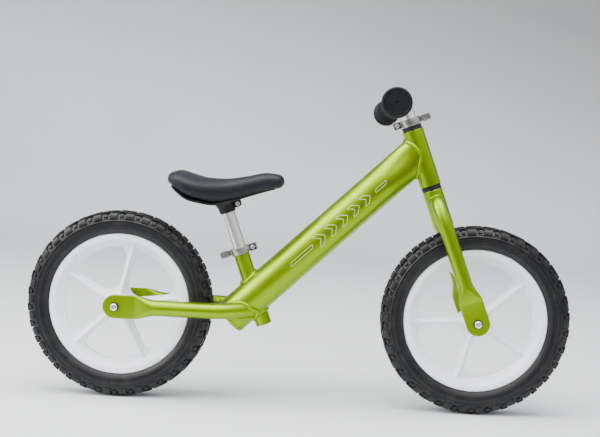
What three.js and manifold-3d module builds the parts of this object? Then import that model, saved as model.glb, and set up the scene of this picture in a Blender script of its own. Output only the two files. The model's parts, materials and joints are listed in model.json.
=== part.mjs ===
// A child's 12 inch balance bike, in millimetres.
// X points forward, Y to the bike's left and Z up. The origin is on the ground, midway between the wheels.
// Tubes that are welded on the real bike are separate solids here, a hairline gap apart.
import * as THREE from 'three';
import { mergeVertices } from 'three/addons/utils/BufferGeometryUtils.js';
import Module from 'manifold-3d';

const wasm = await Module();
wasm.setup();

// ---- driving dimensions ----
const GAP = 0.3; // between pieces that touch on the real bike
const CUT = 1; // how far a cutter runs past the face that it cuts
const WELL_CLEAR = 60; // a length that takes a cutter right out of a tube
const SIDES = { rightSide: -1, leftSide: 1 };

const WHEEL_BASE = 579.3;
const TYRE_RADIUS = 152.5;
const TYRE_HALF_WIDTH = 23;
const RIM_RADIUS = 115.4;
const RIM_HALF_WIDTH = 17;
const RIM_LIP_WIDTH = 12.4;
const WEB_HALF_THICKNESS = 3.5;
const WEB_OUTER_RADIUS = 97;
const SPOKE_COUNT = 5;
const SPOKE_HALF_WIDTH = 7;
const SPOKE_RIB_THICKNESS = 4.4;
const REAR_SPOKE_ANGLE = 7; // degrees from +X to the first spoke
const FRONT_SPOKE_ANGLE = 39.5;
const SPOKE_RIB_TIP_HALF = 8; // half the rib's width across the wheel where it meets the rim
const WINDOW = { root: 34, straightTo: 70, rimMargin: 4, arcShare: 0.58 };
const HUB_RADIUS = 19;
const HUB_HALF_WIDTH = 28;

const BEARING = { outer: 14, bore: 6.3, width: 8 };
const AXLE_RADIUS = 6;
const BOLT_RADIUS = 3;
const BOLT_LENGTH = 22; // under the head
const BOLT_HEAD = { radius: 6.2, height: 4.2, faceRadius: 5.3, socket: 2.6 };
const WASHER = { radius: 7.5, thickness: 0.9 };
const SPACER_RADIUS = 8.5;
const DROPOUT_OUTER_Y = 49;
const DROPOUT_THICKNESS = 6;
const DROPOUT_RADIUS = 18.9;

const MAIN_TUBE = { radius: 29, wall: 2, start: 20, length: 425, rise: 43.7 };
const MAIN_TUBE_FOOT = [-120.4, 0, 125.9]; // the point that the tube's length is counted from
const PINCH = { start: 345, end: 415, halfWidth: 18.5 }; // the main tube narrows to meet the head tube
const TUBE_CAP = { start: 14, corner: 4, spigot: 4 };

const HEAD_TILT = 20.7; // degrees back from upright
const HEAD_TUBE = { radius: 17, bore: 15, from: 229.5, to: 322.8 }; // heights above the front axle, along it
const BUSH = { radius: 16, flange: 7.6, sleeve: 16 };
const CROWN = { radius: 16.1, from: 160, to: 221.3 };
const STEERER = { radius: 12.7, bore: 11.45, from: 162, to: 342.5 };
const BLADE_RADIUS = 11.75;

const SEAT_TILT = 20;
const SEAT_LINE_FOOT = [-4.7, 0, -1.7]; // where the seat tube's axis meets the ground, near enough
const SEAT_TUBE = { radius: 12.9, bore: 11.45, from: 138.5, to: 270 };
const POST = { radius: 11.1, wall: 1.6, from: 147, to: 343.5 };
const STAY_RADIUS = 12.8;
const STAY_HEIGHT = 153;

const STEM = { radius: 11.1, wall: 1.6, from: 223 };
const BAR = { height: 367.4, setBack: 22, halfLength: 163, wall: 1.6 };
const GRIP = { radius: 15.2, inner: 74, outer: 167.5, flange: 20.5, end: 22.7, endWidth: 9 };

const COLLAR = { bore: 13.2, radius: 16.6, height: 12, earReach: 28.2, earHalfWidth: 8, slot: 3 };
const CLAMP_BOLT = { radius: 2.5, along: 22.5, eye: 3.6, eyeHalfHeight: 2.2 };
const CLAMP_NUT = { radius: 4.3, height: 4.4 };
const CLAMP_PIN = { radius: 1.5, halfLength: 5 };
const CAM = { radius: 5.2, y: 15.2, height: 9, slotHalf: 2.6 };
const SEAT_COLLAR_FROM = 259.6;
const BAR_COLLAR_FROM = 331.3;

const SOCKET = { radius: 14, from: 330.5, to: 344.6, earFrom: 335, earReach: 25, earHalfWidth: 6 };
const SADDLE_BOLT = { radius: 2.5, along: 20, height: 340, from: -7, head: 4, headFrom: 6.3, to: 9.5 };

// ---- materials ----
function finish(color, roughness, metalness) {
  return new THREE.MeshStandardMaterial({ color, roughness, metalness });
}

const limePaint = () => finish(0xa3c41f, 0.3, 0.6);
const whitePlastic = () => finish(0xf1f2f4, 0.42, 0);
const tyreFoam = () => finish(0x1b1c1e, 0.72, 0);
const blackPlastic = () => finish(0x141516, 0.5, 0);
const gripRubber = () => finish(0x1c1e22, 0.6, 0);
const saddleCover = () => finish(0x20232a, 0.48, 0);
const satinSteel = () => finish(0xc4c2bc, 0.3, 1);
const brightSteel = () => finish(0xd6d6d4, 0.2, 1);

// ---- solids ----
function solid(geometry) {
  const bare = geometry.clone();
  bare.deleteAttribute('normal');
  bare.deleteAttribute('uv');
  const merged = mergeVertices(bare, 1e-4);
  const mesh = new wasm.Mesh({
    numProp: 3,
    vertProperties: new Float32Array(merged.attributes.position.array),
    triVerts: new Uint32Array(merged.index.array),
  });
  return new wasm.Manifold(mesh);
}

function geometryOf(body) {
  const mesh = body.getMesh();
  const geometry = new THREE.BufferGeometry();
  geometry.setAttribute('position', new THREE.BufferAttribute(mesh.vertProperties, 3));
  geometry.setIndex(new THREE.BufferAttribute(mesh.triVerts, 1));
  geometry.computeVertexNormals();
  return geometry;
}

function cut(body, ...cutters) {
  return cutters.reduce((left, cutter) => left.subtract(cutter), body);
}

// A closed [radius, height] outline, listed anticlockwise with radius to the right, turned about Z.
function turned(outline, segments) {
  const points = outline.map(([radius, height]) => new THREE.Vector2(radius, height));
  points.push(points[0].clone());
  const geometry = new THREE.LatheGeometry(points, segments);
  geometry.rotateX(Math.PI / 2);
  return solid(geometry);
}

function rod(radius, from, to, segments = 20) {
  const geometry = new THREE.CylinderGeometry(radius, radius, to - from, segments);
  geometry.rotateX(Math.PI / 2);
  geometry.translate(0, 0, (from + to) / 2);
  return solid(geometry);
}

function tube(radius, bore, from, to, segments = 20) {
  return cut(rod(radius, from, to, segments), rod(bore, from - CUT, to + CUT, segments));
}

function crossRod(radius, x, z, fromY, toY, segments = 12) {
  const geometry = new THREE.CylinderGeometry(radius, radius, toY - fromY, segments);
  geometry.translate(x, (fromY + toY) / 2, z);
  return solid(geometry);
}

function block(from, to) {
  const size = to.map((value, axis) => value - from[axis]);
  const geometry = new THREE.BoxGeometry(...size);
  geometry.translate(...from.map((value, axis) => value + size[axis] / 2));
  return solid(geometry);
}

// An outline in the X-Y plane, given a thickness from one height to another.
function plate(shape, from, to, curveSegments = 6) {
  const settings = { depth: to - from, bevelEnabled: false, curveSegments };
  const geometry = new THREE.ExtrudeGeometry(shape, settings);
  geometry.translate(0, 0, from);
  return solid(geometry);
}

// A round bar along a curve.
function swept(radius, curve, steps) {
  const shape = new THREE.Shape();
  shape.absarc(0, 0, radius, 0, 2 * Math.PI);
  const options = { steps, extrudePath: curve, curveSegments: 8, bevelEnabled: false };
  return solid(new THREE.ExtrudeGeometry(shape, options));
}

// Rings of equally many points, skinned in order and closed at both ends.
function skinned(rings) {
  const count = rings[0].length;
  const last = rings.length - 1;
  const index = [];
  for (let ring = 0; ring < last; ring += 1) {
    for (let side = 0; side < count; side += 1) {
      const next = (side + 1) % count;
      const [a, b] = [ring * count + side, ring * count + next];
      index.push(a, b, b + count, a, b + count, a + count);
    }
  }
  for (let side = 1; side < count - 1; side += 1) {
    index.push(0, side + 1, side);
    index.push(last * count, last * count + side, last * count + side + 1);
  }
  const geometry = new THREE.BufferGeometry();
  geometry.setAttribute('position', new THREE.Float32BufferAttribute(rings.flat(2), 3));
  geometry.setIndex(index);
  return solid(geometry);
}

// A rounded rectangle of half sizes [width, depth]: a circle when both equal the corner radius.
function roundedRing(width, depth, corner, perCorner = 4) {
  const points = [];
  for (let quarter = 0; quarter < 4; quarter += 1) {
    const signX = quarter === 0 || quarter === 3 ? 1 : -1;
    const signY = quarter < 2 ? 1 : -1;
    for (let step = 0; step < perCorner; step += 1) {
      const angle = (quarter + (step + 0.5) / perCorner) * Math.PI / 2;
      const x = signX * (width - corner) + corner * Math.cos(angle);
      points.push([x, signY * (depth - corner) + corner * Math.sin(angle)]);
    }
  }
  return points;
}

// ---- where the groups stand ----
function groupAt(position, tiltBack, ...contents) {
  const group = new THREE.Group();
  group.position.set(...position);
  group.rotation.y = -THREE.MathUtils.degToRad(tiltBack);
  if (contents.length) group.add(...contents);
  group.updateMatrixWorld(true);
  return group;
}

const FRONT_AXLE = [WHEEL_BASE / 2, 0, TYRE_RADIUS];
const REAR_AXLE = [-WHEEL_BASE / 2, 0, TYRE_RADIUS];
const frame = new THREE.Group();
const mainLine = groupAt(MAIN_TUBE_FOOT, MAIN_TUBE.rise - 90);
const steerLine = groupAt(FRONT_AXLE, HEAD_TILT);
const seatLine = groupAt(SEAT_LINE_FOOT, SEAT_TILT);

// A solid made in one group's coordinates, restated in another's.
function carried(body, from, to) {
  const matrix = to.matrixWorld.clone().invert().multiply(from.matrixWorld);
  return body.transform(matrix.elements);
}

function add(group, name, body, material) {
  const mesh = new THREE.Mesh(geometryOf(body), material);
  mesh.name = name;
  group.add(mesh);
}

// ---- main tube, head tube and seat tube ----
function pinchedRod(radius, from, to) {
  const rings = [];
  const steps = 4;
  const stations = [from];
  for (let step = 0; step <= steps; step += 1) {
    stations.push(PINCH.start + (PINCH.end - PINCH.start) * step / steps);
  }
  stations.push(to);
  for (const along of stations) {
    const progress = THREE.MathUtils.smoothstep(along, PINCH.start, PINCH.end);
    const narrowed = radius - progress * (MAIN_TUBE.radius - PINCH.halfWidth);
    const ring = [];
    const sides = 24;
    for (let side = 0; side < sides; side += 1) {
      const angle = 2 * Math.PI * side / sides;
      ring.push([radius * Math.cos(angle), narrowed * Math.sin(angle), along]);
    }
    rings.push(ring);
  }
  return skinned(rings);
}

function mainTube() {
  const { radius, wall, start, length } = MAIN_TUBE;
  const seatHole = rod(SEAT_TUBE.radius + 2 * GAP, SEAT_TUBE.from - WELL_CLEAR, SEAT_TUBE.to);
  const [below, above] = [HEAD_TUBE.from - WELL_CLEAR, HEAD_TUBE.to + WELL_CLEAR];
  const headHole = rod(HEAD_TUBE.radius + GAP, below, above, 36);
  const beyondHead = block([0, -WELL_CLEAR, below], [WELL_CLEAR, WELL_CLEAR, above]);
  return cut(
    pinchedRod(radius, start, length),
    pinchedRod(radius - wall, start - CUT, length + CUT),
    carried(seatHole, seatLine, mainLine),
    carried(headHole, steerLine, mainLine),
    carried(beyondHead, steerLine, mainLine),
  );
}

function tubeCap() {
  const { radius, wall, start } = MAIN_TUBE;
  const { start: bottom, corner, spigot } = TUBE_CAP;
  const plug = radius - wall - GAP;
  const outline = [[0, bottom], [radius - corner, bottom]];
  const arcSteps = 3;
  for (let step = 1; step <= arcSteps; step += 1) {
    const angle = step / arcSteps * Math.PI / 2;
    const across = radius - corner + corner * Math.sin(angle);
    outline.push([across, bottom + corner - corner * Math.cos(angle)]);
  }
  outline.push([radius, start - GAP], [plug, start - GAP], [plug, start + spigot], [0, start + spigot]);
  return turned(outline, 28);
}

add(mainLine, 'main_tube', mainTube(), limePaint());
add(mainLine, 'main_tube_cap', tubeCap(), limePaint());

const headTube = tube(HEAD_TUBE.radius, HEAD_TUBE.bore, HEAD_TUBE.from, HEAD_TUBE.to, 24);
const seatTube = tube(SEAT_TUBE.radius, SEAT_TUBE.bore, SEAT_TUBE.from, SEAT_TUBE.to, 24);
add(steerLine, 'head_tube', headTube, limePaint());
add(seatLine, 'seat_tube', seatTube, limePaint());

// ---- tubes with flattened ends: the chain stays and the fork blades ----
// A path point is {at: [along, sideways], half: [width, thickness]}; the width lies across the path's plane.
function flattenedTube(path, place) {
  return skinned(path.map(({ at, half }, index) => {
    const before = path[Math.max(index - 1, 0)].at;
    const after = path[Math.min(index + 1, path.length - 1)].at;
    const run = Math.hypot(after[0] - before[0], after[1] - before[1]);
    const [alongStep, sideStep] = [(after[0] - before[0]) / run, (after[1] - before[1]) / run];
    const corner = Math.min(half[0], half[1]);
    return roundedRing(half[0], half[1], corner).map(([wide, deep]) => {
      return place(at[0] - sideStep * deep, at[1] + alongStep * deep, wide);
    });
  }));
}

// The flattened end round an axle at along = 0, then the stretch where the tube swells to its round section.
function dropoutPath(radius, flatTo, roundFrom, roundY) {
  const halfThickness = DROPOUT_THICKNESS / 2;
  const plateY = DROPOUT_OUTER_Y - halfThickness;
  const path = [];
  for (const turn of [-75, -55, -35, -15, 0]) {
    const angle = THREE.MathUtils.degToRad(turn);
    const half = [DROPOUT_RADIUS * Math.cos(angle), halfThickness];
    path.push({ at: [DROPOUT_RADIUS * Math.sin(angle), plateY], half });
  }
  const steps = 5;
  for (let step = 0; step <= steps; step += 1) {
    const progress = step / steps;
    const eased = THREE.MathUtils.smoothstep(progress, 0, 1);
    const along = THREE.MathUtils.lerp(flatTo, roundFrom, progress);
    const width = THREE.MathUtils.lerp(DROPOUT_RADIUS, radius, eased);
    const thickness = THREE.MathUtils.lerp(halfThickness, radius, Math.sqrt(eased));
    path.push({ at: [along, THREE.MathUtils.lerp(plateY, roundY, eased)], half: [width, thickness] });
  }
  return path;
}

function roundStretch(radius, points) {
  return points.map((at) => ({ at, half: [radius, radius] }));
}

// Lengths run forward from the rear axle; the front end curves in to the main tube's side.
function stay(side) {
  const path = dropoutPath(STAY_RADIUS, 32, 66, 44.5);
  const bend = [[150, 45], [165, 43.5], [180, 38], [195, 29], [208, 19.5], [220, 10]];
  path.push(...roundStretch(STAY_RADIUS, bend));
  const rings = flattenedTube(path, (along, sideways, wide) => [
    REAR_AXLE[0] + along, side * sideways, STAY_HEIGHT - side * wide,
  ]);
  const mainSpace = rod(MAIN_TUBE.radius + GAP, TUBE_CAP.start - GAP, MAIN_TUBE.length, 36);
  const boltHole = crossRod(BOLT_RADIUS + GAP, REAR_AXLE[0], REAR_AXLE[2], -WELL_CLEAR, WELL_CLEAR);
  return cut(rings, carried(mainSpace, mainLine, frame), boltHole);
}

// Lengths run up the blade from the front axle; the top bends in to the crown.
function blade(side) {
  const path = dropoutPath(BLADE_RADIUS, 34, 66, 42.5);
  const bend = [[120, 42.5], [150, 42], [168, 40.5], [183, 36.5], [194, 30], [199.5, 22], [200.5, 12]];
  path.push(...roundStretch(BLADE_RADIUS, bend));
  const rings = flattenedTube(path, (along, sideways, wide) => [side * wide, side * sideways, along]);
  const crownSpace = rod(CROWN.radius + GAP, CROWN.from - 10, CROWN.to + 20);
  const boltHole = crossRod(BOLT_RADIUS + GAP, 0, 0, -WELL_CLEAR, WELL_CLEAR);
  return cut(rings, crownSpace, boltHole);
}

for (const [name, side] of [['right', SIDES.rightSide], ['left', SIDES.leftSide]]) {
  add(frame, `${name}_chain_stay`, stay(side), limePaint());
  add(steerLine, `${name}_fork_blade`, blade(side), limePaint());
}

// ---- steering: bushes in the head tube, steerer and crown ----
function headBush(flangeFrom, flangeTo, sleeveTo) {
  const bore = STEERER.radius + GAP;
  const sleeve = HEAD_TUBE.bore - GAP;
  const outline = [
    [bore, flangeFrom], [BUSH.radius, flangeFrom], [BUSH.radius, flangeTo],
    [sleeve, flangeTo], [sleeve, sleeveTo], [bore, sleeveTo],
  ];
  return turned(sleeveTo > flangeTo ? outline : outline.reverse(), 20);
}

const lowerFlange = HEAD_TUBE.from - GAP;
const upperFlange = HEAD_TUBE.to + GAP;
const lowerBush = headBush(lowerFlange - BUSH.flange, lowerFlange, lowerFlange + BUSH.sleeve);
const upperBush = headBush(upperFlange + BUSH.flange, upperFlange, upperFlange - BUSH.sleeve);
add(steerLine, 'lower_headset_bush', lowerBush, blackPlastic());
add(steerLine, 'upper_headset_bush', upperBush, blackPlastic());
add(steerLine, 'fork_crown', tube(CROWN.radius, STEERER.radius + GAP, CROWN.from, CROWN.to), limePaint());
add(steerLine, 'steerer_tube', tube(STEERER.radius, STEERER.bore, STEERER.from, STEERER.to), satinSteel());

// ---- handlebar ----
function barCurve() {
  const bends = [[0, 0], [22, 0], [38, 5], [54, 15.5], [68, 21.5], [82, BAR.setBack], [120, BAR.setBack]];
  const points = bends.map(([y, back]) => new THREE.Vector3(-back, y, BAR.height));
  points.push(new THREE.Vector3(-BAR.setBack, BAR.halfLength, BAR.height));
  const mirrored = points.slice(1).reverse().map((point) => new THREE.Vector3(point.x, -point.y, point.z));
  return new THREE.CatmullRomCurve3([...mirrored, ...points], false, 'centripetal');
}

function handlebarTube() {
  const curve = barCurve();
  const steps = 22;
  const outer = swept(STEM.radius, curve, steps);
  const bore = swept(STEM.radius - BAR.wall, curve, steps);
  const ends = Object.values(SIDES).map((side) => {
    const span = sortedSpan(side, BAR.halfLength, 5);
    return crossRod(STEM.radius - BAR.wall, -BAR.setBack, BAR.height, ...span);
  });
  return cut(outer, bore, ...ends);
}

// A short stretch of Y centred on one side's distance from the middle, lower value first.
function sortedSpan(side, distance, reach) {
  return [side * distance - reach, side * distance + reach];
}

function stemTube() {
  const barSpace = crossRod(STEM.radius + 2 * GAP, 0, BAR.height, -20, 20, 24);
  const above = block([-20, -20, BAR.height], [20, 20, BAR.height + 40]);
  return cut(tube(STEM.radius, STEM.radius - STEM.wall, STEM.from, BAR.height), barSpace, above);
}

function grip(side) {
  const { radius, inner, outer, flange, end, endWidth } = GRIP;
  const bore = STEM.radius + GAP;
  const floor = BAR.halfLength + GAP;
  const outline = [
    [bore, inner], [flange, inner], [flange, inner + 4], [radius, inner + 7], [radius, outer - endWidth - 3],
    [end - 0.7, outer - endWidth], [end, outer - endWidth + 2], [end, outer - 2], [end - 2, outer],
    [0, outer], [0, floor], [bore, floor],
  ];
  const body = turned(outline, 20);
  const matrix = new THREE.Matrix4().makeRotationX(-side * Math.PI / 2);
  matrix.setPosition(-BAR.setBack, 0, BAR.height);
  return body.transform(matrix.elements);
}

add(steerLine, 'stem_tube', stemTube(), satinSteel());
add(steerLine, 'handlebar_tube', handlebarTube(), satinSteel());
add(steerLine, 'right_grip', grip(SIDES.rightSide), gripRubber());
add(steerLine, 'left_grip', grip(SIDES.leftSide), gripRubber());

// ---- quick-release clamps ----
// facing is 1 where the ears point forward and -1 where they point back. The lever lies on the left.
function collar(from, facing) {
  const { bore, radius, height, earReach, earHalfWidth, slot } = COLLAR;
  const to = from + height;
  const ears = new THREE.Shape();
  const corner = 3;
  ears.moveTo(0, -earHalfWidth);
  ears.lineTo(facing * (earReach - corner), -earHalfWidth);
  ears.quadraticCurveTo(facing * earReach, -earHalfWidth, facing * earReach, corner - earHalfWidth);
  ears.lineTo(facing * earReach, earHalfWidth - corner);
  ears.quadraticCurveTo(facing * earReach, earHalfWidth, facing * (earReach - corner), earHalfWidth);
  ears.lineTo(0, earHalfWidth);
  const [back, front] = facing > 0 ? [0, WELL_CLEAR] : [-WELL_CLEAR, 0];
  const [boltX, boltHeight] = [facing * CLAMP_BOLT.along, (from + to) / 2];
  const boltHole = crossRod(CLAMP_BOLT.radius + GAP, boltX, boltHeight, -WELL_CLEAR, WELL_CLEAR, 12);
  return cut(
    rod(radius, from, to, 24).add(plate(ears, from, to, 3)),
    rod(bore, from - CUT, to + CUT, 24),
    block([back, -slot / 2, from - CUT], [front, slot / 2, to + CUT]),
    boltHole,
  );
}

// The lever's pin, or with some room added the hole that it goes through.
function clampPin(middle, facing, room = 0) {
  const half = CLAMP_PIN.halfLength + room;
  const pin = rod(CLAMP_PIN.radius + room, middle - half, middle + half, 12);
  return pin.translate([facing * CLAMP_BOLT.along, CAM.y, 0]);
}

function clampBolt(middle, facing) {
  const x = facing * CLAMP_BOLT.along;
  const shank = crossRod(CLAMP_BOLT.radius, x, middle, -COLLAR.earHalfWidth - 5, CAM.y + 1, 12);
  const { eye: eyeRadius, eyeHalfHeight } = CLAMP_BOLT;
  const eye = rod(eyeRadius, middle - eyeHalfHeight, middle + eyeHalfHeight, 16).translate([x, CAM.y, 0]);
  return cut(shank.add(eye), clampPin(middle, facing, GAP));
}

function clampNut(middle, facing) {
  const x = facing * CLAMP_BOLT.along;
  const face = -COLLAR.earHalfWidth - GAP;
  const body = crossRod(CLAMP_NUT.radius, x, middle, face - CLAMP_NUT.height, face, 6);
  const hole = crossRod(CLAMP_BOLT.radius + GAP, x, middle, face - CLAMP_NUT.height - CUT, face + CUT, 12);
  return cut(body, hole);
}

// The cam turns on the pin; the arm follows the collar round the left and ends in a rounded tab.
function clampLever(middle, facing) {
  const x = facing * CLAMP_BOLT.along;
  const half = CAM.height / 2;
  const camBody = rod(CAM.radius, middle - half, middle + half, 20).translate([x, CAM.y, 0]);
  const armInner = COLLAR.radius + 1.4;
  const armOuter = armInner + 2.6;
  const arm = new THREE.Shape();
  arm.moveTo(facing * (CLAMP_BOLT.along - 1), CAM.y + CAM.radius - 1.2);
  arm.lineTo(facing * 12, armOuter + 0.6);
  arm.lineTo(0, armOuter);
  arm.quadraticCurveTo(-facing * 13, armOuter - 0.6, -facing * 19, 13.5);
  arm.lineTo(-facing * 32, 11.2);
  arm.quadraticCurveTo(-facing * 34, 10.4, -facing * 33.2, 8.6);
  arm.lineTo(-facing * 18, 10.6);
  arm.quadraticCurveTo(-facing * 12, armInner - 1.2, 0, armInner);
  arm.lineTo(facing * 14, armInner - 3.4);
  arm.lineTo(facing * (CLAMP_BOLT.along - 3), CAM.y - 4);
  const reach = 12;
  const boltSlot = block(
    [x - reach, CAM.y - reach, middle - CAM.slotHalf],
    [x + reach, CAM.y + reach, middle + CAM.slotHalf],
  );
  return cut(camBody.add(plate(arm, middle - half, middle + half)), boltSlot, clampPin(middle, facing, GAP));
}

function addClamp(group, name, from, facing) {
  const middle = from + COLLAR.height / 2;
  add(group, `${name}_clamp_collar`, collar(from, facing), satinSteel());
  add(group, `${name}_clamp_bolt`, clampBolt(middle, facing), brightSteel());
  add(group, `${name}_clamp_nut`, clampNut(middle, facing), brightSteel());
  add(group, `${name}_clamp_pin`, clampPin(middle, facing), brightSteel());
  add(group, `${name}_clamp_lever`, clampLever(middle, facing), satinSteel());
}

addClamp(seatLine, 'seat', SEAT_COLLAR_FROM, 1);
addClamp(steerLine, 'bar', BAR_COLLAR_FROM, -1);

// ---- seat post and saddle ----
// Stations of the saddle from tail to nose: x, half width, top and underside.
const SADDLE = [
  { x: -214, half: 34, top: 366, under: 357 },
  { x: -208, half: 48, top: 372, under: 350 },
  { x: -197, half: 56, top: 375.5, under: 340 },
  { x: -180, half: 60, top: 371.5, under: 329 },
  { x: -160, half: 55, top: 366, under: 324 },
  { x: -140, half: 44, top: 364.2, under: 321 },
  { x: -115, half: 32, top: 364.8, under: 326 },
  { x: -85, half: 26, top: 370.4, under: 336 },
  { x: -58, half: 23, top: 376, under: 345 },
  { x: -40, half: 19, top: 373.2, under: 351 },
  { x: -30, half: 11, top: 364, under: 356 },
];
const BASE_THICKNESS = 3.6;

function saddleSection(half, under, top) {
  const middle = (under + top) / 2;
  const depth = (top - under) / 2;
  return roundedRing(half, depth, Math.min(half, depth)).map(([across, up]) => [across, middle + up]);
}

function saddlePad() {
  return skinned(SADDLE.map(({ x, half, top, under }) => {
    const section = saddleSection(half, under + BASE_THICKNESS + GAP, top);
    return section.map(([across, up]) => [x, across, up]);
  }));
}

function saddleBase() {
  return skinned(SADDLE.slice(1, -1).map(({ x, half, under }) => {
    const across = half - 9;
    return [[across, 0], [across, BASE_THICKNESS], [-across, BASE_THICKNESS], [-across, 0]]
      .map(([y, up]) => [x, y, under + up]);
  }));
}

function saddleSocket() {
  const { radius, from, to, earFrom, earReach, earHalfWidth } = SOCKET;
  const ear = block([POST.radius, -earHalfWidth, earFrom], [earReach, earHalfWidth, to]);
  const { along, height } = SADDLE_BOLT;
  const boltHole = crossRod(SADDLE_BOLT.radius + GAP, along, height, -WELL_CLEAR, WELL_CLEAR, 12);
  const bore = rod(POST.radius + GAP, from - CUT, POST.to + GAP, 24);
  return cut(rod(radius, from, to).add(ear), bore, boltHole);
}

function saddleBolt() {
  const { radius, along, height, from, head, headFrom, to } = SADDLE_BOLT;
  const shank = crossRod(radius, along, height, from, to - GAP, 12);
  return shank.add(crossRod(head, along, height, headFrom, to, 12));
}

const post = tube(POST.radius, POST.radius - POST.wall, POST.from, POST.to, 24);
add(seatLine, 'seat_post', post, satinSteel());
add(seatLine, 'saddle_socket', saddleSocket(), blackPlastic());
add(seatLine, 'saddle_clamp_bolt', saddleBolt(), brightSteel());
add(frame, 'saddle_base', saddleBase(), blackPlastic());
add(frame, 'saddle_pad', saddlePad(), saddleCover());

// ---- wheels ----
// A wheel is made about its own Z, which points to the bike's right once the wheel stands in place.
function tyre() {
  const seat = RIM_RADIUS + 0.4;
  const halfOutline = [
    [seat, RIM_HALF_WIDTH - 0.6], [seat + 5, TYRE_HALF_WIDTH - 3], [seat + 13, TYRE_HALF_WIDTH - 0.5],
    [TYRE_RADIUS - 12, TYRE_HALF_WIDTH], [TYRE_RADIUS - 3, TYRE_HALF_WIDTH - 3.5], [TYRE_RADIUS, 12],
  ];
  const mirrored = halfOutline.map(([radius, y]) => [radius, -y]);
  return turned([...mirrored, ...halfOutline.reverse()], 40);
}

function rimChannel() {
  const inner = RIM_RADIUS - RIM_LIP_WIDTH;
  const half = [
    [WEB_OUTER_RADIUS, WEB_HALF_THICKNESS], [inner, RIM_HALF_WIDTH - 2.5],
    [inner + 3, RIM_HALF_WIDTH], [RIM_RADIUS - 2, RIM_HALF_WIDTH], [RIM_RADIUS, RIM_HALF_WIDTH - 1.5],
  ];
  const mirrored = half.map(([radius, y]) => [radius, -y]);
  return turned([...mirrored, ...half.reverse()], 40);
}

// One opening between two spokes, centred on +X, with generous corners.
function spokeWindow() {
  const halfPitch = Math.PI / SPOKE_COUNT;
  const outer = WEB_OUTER_RADIUS - WINDOW.rimMargin;
  const { root, straightTo } = WINDOW;
  const onSpoke = (distance, side) => new THREE.Vector2(distance, -side * SPOKE_HALF_WIDTH)
    .rotateAround(new THREE.Vector2(), side * halfPitch);
  const [start, low, cornerLow] = [onSpoke(root, -1), onSpoke(straightTo, -1), onSpoke(outer, -1)];
  const [finishPoint, high, cornerHigh] = [onSpoke(root, 1), onSpoke(straightTo, 1), onSpoke(outer, 1)];
  const sweep = halfPitch * WINDOW.arcShare;
  const shape = new THREE.Shape();
  shape.moveTo(start.x, start.y);
  shape.lineTo(low.x, low.y);
  shape.quadraticCurveTo(cornerLow.x, cornerLow.y, outer * Math.cos(sweep), -outer * Math.sin(sweep));
  shape.absarc(0, 0, outer, -sweep, sweep, false);
  shape.quadraticCurveTo(cornerHigh.x, cornerHigh.y, high.x, high.y);
  shape.lineTo(finishPoint.x, finishPoint.y);
  shape.quadraticCurveTo(HUB_RADIUS, 0, start.x, start.y);
  return plate(shape, -WEB_HALF_THICKNESS - CUT, WEB_HALF_THICKNESS + CUT, 5);
}

// The upright rib on one spoke, tapering from the hub to the rim.
function spokeRib() {
  const shape = new THREE.Shape();
  const [root, tip] = [HUB_RADIUS - 4, RIM_RADIUS - RIM_LIP_WIDTH];
  shape.moveTo(root, -HUB_HALF_WIDTH + 5);
  shape.lineTo(tip, -SPOKE_RIB_TIP_HALF);
  shape.lineTo(tip, SPOKE_RIB_TIP_HALF);
  shape.lineTo(root, HUB_HALF_WIDTH - 5);
  const half = SPOKE_RIB_THICKNESS / 2;
  return plate(shape, -half, half).rotate([90, 0, 0]);
}

function rim(firstSpoke) {
  const web = rod(WEB_OUTER_RADIUS + 1, -WEB_HALF_THICKNESS, WEB_HALF_THICKNESS, 40);
  let body = rimChannel().add(web);
  body = body.add(rod(HUB_RADIUS, -HUB_HALF_WIDTH, HUB_HALF_WIDTH));
  for (let spoke = 0; spoke < SPOKE_COUNT; spoke += 1) {
    const angle = firstSpoke + spoke * 360 / SPOKE_COUNT;
    body = body.add(spokeRib().rotate([0, 0, angle]));
    body = body.subtract(spokeWindow().rotate([0, 0, angle + 180 / SPOKE_COUNT]));
  }
  const bearingSeat = BEARING.outer + GAP;
  const seatDepth = HUB_HALF_WIDTH - BEARING.width;
  return cut(
    body,
    rod(BEARING.outer - 2.5, -HUB_HALF_WIDTH - CUT, HUB_HALF_WIDTH + CUT),
    rod(bearingSeat, seatDepth - GAP, HUB_HALF_WIDTH + CUT),
    rod(bearingSeat, -HUB_HALF_WIDTH - CUT, -seatDepth + GAP),
  );
}

// The bolt stands on +Z with its head outwards.
function axleBolt() {
  const under = DROPOUT_OUTER_Y + WASHER.thickness + 2 * GAP;
  const { radius, height, faceRadius, socket } = BOLT_HEAD;
  const face = under + height;
  return turned([
    [0, under - BOLT_LENGTH], [BOLT_RADIUS, under - BOLT_LENGTH], [BOLT_RADIUS, under], [radius, under],
    [radius, under + height / 2], [faceRadius, face], [socket, face], [socket, face - socket],
    [0, face - socket],
  ], 12);
}

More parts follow.
